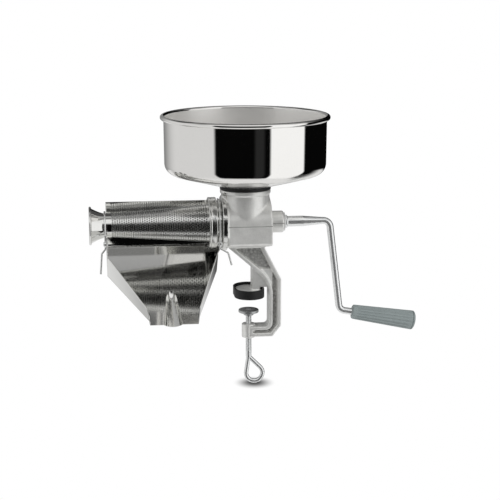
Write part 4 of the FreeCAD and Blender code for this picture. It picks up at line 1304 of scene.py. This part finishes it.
@dataclass
class Crank:
    """Forged crank with its turning grip, and the feed works inside the barrel."""

    grip_base: Vector = field(default_factory=lambda: Vector((146.24, 0.0, -28.25)) * MM)
    grip_drop_deg: float = 10.0
    grip_len: float = 86.0 * MM
    grip_steps: int = 24
    clear_steps: int = 2  # left out at the small end, where its edge is eased
    small_r: float = 10.0 * MM
    big_r: float = 13.4 * MM
    bore: float = 3.95 * MM
    ease: float = 1.8 * MM
    ease_steps: int = 5
    end_ease: float = 0.6 * MM
    end_steps: int = 4
    end_gap: float = 0.1 * MM
    recess_r: float = 8.1 * MM
    recess: float = 12.0 * MM
    flutes: int = 16
    flute_sides: int = 12
    flute_depth: float = 1.1 * MM
    flute_share: float = 0.30
    # Where the flutes begin, how far before the grip's end they stop, and how they run out.
    flute_run: Triple = (5.0 * MM, 4.0 * MM, 6.0 * MM)
    stem_r: float = 8.0 * MM
    stem: float = 6.0 * MM
    groove_depth: float = 1.0 * MM
    groove: Pair = (0.5 * MM, 0.9 * MM)  # where it ends and where the dome begins
    dome: float = 5.5 * MM
    dome_steps: int = 12
    dome_sides: int = 72
    rod_voxel: float = 0.6 * MM
    rod_passes: int = 5
    auger_voxel: float = 0.9 * MM
    auger_passes: int = 4

    def way(self) -> Vector:
        """Direction of the grip's axis."""
        a = math.radians(self.grip_drop_deg)
        return Vector((math.cos(a), 0.0, -math.sin(a)))

    def blank(self) -> bpy.types.Mesh:
        """Turned blank of the grip, along Z.

        Returns:
            The mesh.
        """
        ease, steps, end = self.ease, self.grip_steps, self.grip_len - self.end_gap
        floor = self.grip_len - self.recess
        profile = [(self.bore, 0.0)]
        profile += arc((self.small_r - ease, ease), ease, -90, 0, self.ease_steps)
        profile += [(self.small_r + (self.big_r - self.small_r) * i / steps,
                     self.grip_len * i / steps) for i in range(self.clear_steps, steps)]
        profile += arc((self.big_r - self.end_ease, end - self.end_ease), self.end_ease, 0, 90,
                       self.end_steps)
        profile += [(self.recess_r, end), (self.recess_r, floor), (self.bore, floor)]
        return turned("grip_blank", profile, Vector(), Axis.UP, self.flutes * self.flute_sides)

    def grip(self) -> bpy.types.Mesh:
        """Tapered grip whose flutes are pressed into a turned blank.

        Returns:
            The mesh.
        """
        rule = GeoTree("crank_handle")
        count = rule.value("Flutes", self.flutes)
        depth = rule.value("Depth", self.flute_depth)
        share = rule.value("Share", self.flute_share)
        x, y, z = rule.place()
        r = (x * x + y * y) ** 0.5
        around = y.call("ARCTAN2", x) * count / (2 * math.pi)
        across = around.call("PINGPONG", 0.5) / share
        groove = (1 - across * across).call("MAXIMUM", 0.0)
        start, stop, fade = self.flute_run
        outside = (r > self.small_r - self.ease) * z.between(start, self.grip_len - stop, fade)
        scale = 1 - groove * depth * outside / r
        pressed = rule.moved(rule.source(), x * scale, y * scale, z)
        mesh = rule.run(self.blank(), pressed, Palette.GRIP)
        mesh.transform(along(self.grip_base, self.way()))
        return mesh

    def cap(self) -> bpy.types.Mesh:
        """Domed end cap with a groove at the grip's end.

        Returns:
            The mesh.
        """
        r, waist = self.big_r, self.big_r - self.groove_depth
        low, base = self.groove
        profile = [(0.0, -self.stem), (self.stem_r, -self.stem), (self.stem_r, 0.0),
                   (waist, 0.0), (waist, low)]
        for i in range(self.dome_steps):
            a = math.pi / 2 * i / self.dome_steps
            profile.append((r * math.cos(a), base + (self.dome - base) * math.sin(a)))
        profile.append((0.0, self.dome))
        mesh = turned("grip_dome", profile, Vector(), Axis.UP, self.dome_sides)
        mesh.transform(along(self.grip_base + self.way() * self.grip_len, self.way()))
        return mesh

    def build(self) -> None:
        """Make and dress the crank's pieces."""
        show(softened("crank_rod", "crank_forging", self.rod_voxel, self.rod_passes),
             Palette.PLATED, "crank_body", "crank_rod")
        show(self.grip(), Palette.GRIP, "grip_body", "crank_grip")
        show(self.cap(), Palette.GRIP, "grip_body", "grip_end_cap")
        show(softened("auger", "feed_auger", self.auger_voxel, self.auger_passes),
             Palette.SHADED_AUGER, "crank_body", "auger")
        for node in ("auger_pin", "auger_spring", "thrust_washer", "grip_retainer"):
            show(copied(node, node + "_metal"), Palette.PLATED, "crank_body", node)


@dataclass
class Clamp:
    """Threaded screw with its bent eye, and the pressure disc."""

    top: float = -20.05 * MM
    drop: float = -88.0 * MM
    rod_r: float = 3.95 * MM
    rod_sides: int = 32
    rings: int = 8  # in each turn of the thread
    pitch: float = 1.25 * MM
    depth: float = 0.62 * MM
    flank: float = 1.5  # slope of the thread's flanks
    core: float = 0.9  # share of the radius beyond which the thread is cut
    # Where the thread begins, how far below the top it stops, and how it runs out.
    thread: Triple = (9.0 * MM, 1.5 * MM, 2.0 * MM)
    wire_r: float = 3.1 * MM
    wire_sides: int = 24
    eye_r: float = 11.5 * MM
    eye_steps: int = 40
    eye: Vector = field(default_factory=lambda: Vector((8.0, 0.0, -112.5)) * MM)
    eye_root: float = 2.0 * MM  # how far the wire reaches up into the rod
    eye_draw: float = 0.15  # share of the first straight along which the rod thins to wire
    eye_close: float = 0.93  # share of the last straight that the wire runs back
    eye_neck: Pair = (0.97, 0.9)  # shares of the rod's radius at the root and at the bend
    disc: Pair = (-24.0 * MM, -20.0 * MM)  # underside and top
    disc_r: float = 14.0 * MM
    disc_flat: float = 8.0 * MM
    disc_hole: float = 4.0 * MM
    disc_ease: float = 0.9 * MM
    disc_steps: int = 5
    disc_sides: int = 72
    hub_r: float = 7.0 * MM
    hub_t: float = 4.0 * MM
    hub_fillet: float = 1.2 * MM
    hub_steps: int = 4

    def rod(self) -> bpy.types.Mesh:
        """Round rod with the thread cut into it by rule.

        Returns:
            The mesh.
        """
        span = self.top - self.drop
        rings = int(span / self.pitch * self.rings)
        side = [(self.rod_r, span * i / rings) for i in range(rings + 1)]
        profile = [(0.0, 0.0)] + side + [(0.0, span)]
        blank = turned("screw_blank", profile, Vector(), Axis.UP, self.rod_sides)
        rule = GeoTree("screw_thread")
        pitch = rule.value("Pitch", self.pitch)
        depth = rule.value("Depth", self.depth)
        x, y, z = rule.place()
        r = (x * x + y * y) ** 0.5
        turns = z / pitch - y.call("ARCTAN2", x) / (2 * math.pi)
        ramp = turns.call("PINGPONG", 0.5) * 2
        start, stop, fade = self.thread
        root = (1 - ramp * self.flank).call("MAXIMUM", 0.0) * z.between(start, span - stop, fade)
        scale = 1 - root * depth * (r > self.rod_r * self.core) / self.rod_r
        cut = rule.moved(rule.source(), x * scale, y * scale, z)
        mesh = rule.run(blank, cut, Palette.PLATED)
        mesh.transform(Matrix.Translation(Vector((0, 0, self.drop))))
        return mesh

    def loop(self) -> bpy.types.Mesh:
        """The rod's end bent into a teardrop eye.

        Returns:
            The mesh.
        """
        top = Vector((0, 0, self.drop))
        apart = top - self.eye
        lean = math.atan2(apart.x, apart.z)
        spread = math.acos(self.eye_r / apart.length)
        first, last = lean - spread, lean + spread - 2 * math.pi
        angles = [first + (last - first) * i / self.eye_steps for i in range(self.eye_steps + 1)]
        ring = [self.eye + Vector((math.sin(a), 0, math.cos(a))) * self.eye_r for a in angles]
        start = top + Vector((0, 0, self.eye_root))
        end = ring[-1] + (top - ring[-1]) * self.eye_close
        path = [start, top, top + (ring[0] - top) * self.eye_draw] + ring + [end]
        neck = [self.rod_r * share for share in self.eye_neck]
        radii = neck + [self.wire_r] * (len(path) - len(neck))
        return swept("screw_eye", path, radii, self.wire_sides)

    def press(self) -> bpy.types.Mesh:
        """Pressure disc with eased edges on its hub.

        Returns:
            The mesh.
        """
        (low, top), r, ease = self.disc, self.disc_r, self.disc_ease
        foot, hub, fillet = low - self.hub_t, self.hub_r, self.hub_fillet
        profile = [(self.disc_hole, top), (self.disc_flat, top)]
        profile += arc((r - ease, top - ease), ease, 90, 0, self.disc_steps)
        profile += arc((r - ease, low + ease), ease, 0, -90, self.disc_steps)
        profile += [(hub + fillet, low), (hub, low - fillet)]
        profile += arc((hub - ease, foot + ease), ease, 0, -90, self.hub_steps)
        profile += [(self.disc_hole, foot)]
        return turned("press_disc", profile, Vector(), Axis.UP, self.disc_sides)

    def build(self) -> None:
        """Make and dress the clamp's pieces."""
        show(joined("clamp_bolt", [self.rod(), self.loop()]), Palette.PLATED, "screw_body",
             "clamp_screw")
        show(self.press(), Palette.DARK, "disc_body", "pressure_disc")


@dataclass(frozen=True)
class Lamp:
    """A soft square lamp.

    Args:
        name: Its name.
        place: Where it stands, in metres.
        size: Its side in metres.
        watts: Its power.
    """

    name: str
    place: Triple
    size: float
    watts: float


@dataclass
class Studio:
    """Floor, lights, surroundings and camera.

    Bearings are in degrees round the mill from the camera, and heights and depths are the sine
    of the angle. A panel is its start, its end and the width of its edges; a step is its place
    and its width.
    """

    azimuth: float = -7.0
    elevation: float = 12.4
    distance: float = 1.8
    focal_px: float = 1309.0
    frame_px: float = 500.0
    sensor: float = 36.0
    clip: Pair = (0.05, 60.0)
    aim: Vector = field(default_factory=lambda: Vector((2.0, 0.0, 64.0)) * MM)
    floor_half: float = 4.0
    # Grey of the floor round the screw's eye: a painted contact shadow.
    floor_shadow_tone: float = 0.12
    floor_rough: float = 0.9
    floor_fade: Pair = (17.5 * MM, 27.0 * MM)
    left: Triple = (-190, -43, 5)
    left_tone: float = 0.24
    left_fade: Pair = (-138, 54)
    left_gain: float = 0.47
    strip: Triple = (14, 27, 6)
    strip_tone: float = 0.02
    right: Triple = (36, 91, 4)
    right_tone: float = 1.02
    dark_tone: float = 0.002  # between the panels
    behind: Pair = (128, 40)
    behind_top: Pair = (-0.28, 0.1)
    behind_tone: float = 0.8
    sky: Pair = (0.45, 0.3)
    sky_tone: float = 0.95
    # Steps of the sky's tone from front to back, each with what it adds.
    sky_steps: tuple[Triple, ...] = ((-0.34, 0.16, -0.7), (-0.1, 0.1, 0.2), (0.25, 0.2, -0.37))
    ground: Pair = (-0.78, 0.14)
    ground_tone: float = 0.8
    ambient: float = 0.55
    lamp_aim: Vector = field(default_factory=lambda: Vector((0.0, 0.0, 80.0)) * MM)
    lamps: tuple[Lamp, ...] = (Lamp("key_lamp", (-1.2, -1.4, 1.6), 1.2, 26.0),
                               Lamp("side_lamp", (1.6, -0.8, 0.9), 0.9, 14.0))

    def back(self) -> Vector:
        """Direction from the mill to the camera."""
        a, e = math.radians(self.azimuth), math.radians(self.elevation)
        return Vector((math.sin(a) * math.cos(e), -math.cos(a) * math.cos(e), math.sin(e)))

    def camera(self) -> None:
        """Set the camera at the photograph's viewing angle."""
        data = bpy.data.cameras.new("studio_camera")
        data.sensor_width = self.sensor
        data.lens = self.focal_px * self.sensor / self.frame_px
        data.clip_start, data.clip_end = self.clip
        camera = placed("studio_camera", data)
        camera.rotation_mode = "QUATERNION"
        camera.location = self.aim + self.back() * self.distance
        camera.rotation_quaternion = (-self.back()).to_track_quat("-Z", "Y")
        bpy.context.scene.camera = camera

    def floor(self) -> None:
        """A floor painted dark under the screw's eye as a contact shadow, which fades into the pale
        surroundings.
        """
        half, z = self.floor_half, CAD_BOX[0].z
        square = ((-half, -half), (half, -half), (half, half), (-half, half))
        mesh = mesh_of("studio_floor", [Vector((x, y, z)) for x, y in square], [(0, 1, 2, 3)])
        floor = placed("studio_floor", mesh)
        floor.visible_glossy = False
        low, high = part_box("clamp_screw")
        spot = ((low.x + high.x) / 2, 0, z)
        finish = PaintedShadowFloor("studio_floor", self.floor_shadow_tone, self.floor_rough, spot,
                             self.floor_fade)
        mesh.materials.append(finish.material())

    def world(self) -> None:
        """White to the camera; to polished metal, a studio of pale and black panels."""
        world = bpy.data.worlds.new("studio_world")
        bpy.context.scene.world = world
        world.use_nodes = True
        sheet = Nodes(world.node_tree)
        x, y, z = sheet.apart(sheet.add("ShaderNodeTexCoord", out="Generated"))
        turn = x.call("ARCTAN2", y * -1) * (180 / math.pi) - self.azimuth
        turn = (turn + 540).call("FLOORED_MODULO", 360) - 180
        left_tone = turn.step(*self.left_fade) * self.left_gain + self.left_tone
        panels = turn.between(*self.left) * left_tone
        panels += turn.between(*self.strip) * self.strip_tone
        panels += turn.between(*self.right) * self.right_tone
        low = 1 - z.step(*self.behind_top)
        behind = abs(turn).step(*self.behind) * low * self.behind_tone
        ring = (panels + self.dark_tone).call("MAXIMUM", behind)
        sky, ground = z.step(*self.sky), 1 - z.step(*self.ground)
        sky_tone = self.sky_tone
        for edge, soft, change in self.sky_steps:
            sky_tone = y.step(edge, soft) * change + sky_tone
        tone = ring * (1 - sky) * (1 - ground) + sky * sky_tone + ground * self.ground_tone
        seen = sheet.add("ShaderNodeLightPath", out="Is Camera Ray")
        glossy = sheet.add("ShaderNodeLightPath", out="Is Glossy Ray")
        level = seen + (1 - seen) * (glossy * tone + (1 - glossy) * self.ambient)
        sheet.feed(world.node_tree.nodes["Background"],
                   {"Color": (1, 1, 1, 1), "Strength": level})

    def light(self) -> None:
        """Stand the lamps round the mill; polished metal doesn't mirror them."""
        for lamp in self.lamps:
            data = bpy.data.lights.new(lamp.name, "AREA")
            data.size, data.energy = lamp.size, lamp.watts
            light = placed(lamp.name, data)
            light.location = lamp.place
            light.rotation_mode = "QUATERNION"
            way = self.lamp_aim - Vector(lamp.place)
            light.rotation_quaternion = way.to_track_quat("-Z", "Y")
            light.visible_glossy = False

    def build(self) -> None:
        """Make the studio."""
        self.camera()
        self.floor()
        self.world()
        self.light()
        bpy.context.scene.view_settings.view_transform = "Standard"


def main() -> None:
    """Build every sub-assembly and report each piece."""
    logging.basicConfig(level=logging.INFO, format="%(name)s %(message)s")
    Studio().build()
    for assembly in (Hopper(), Casting(), Strainer(), Chute(), Crank(), Clamp()):
        assembly.build()


if __name__ == "__main__":
    main()
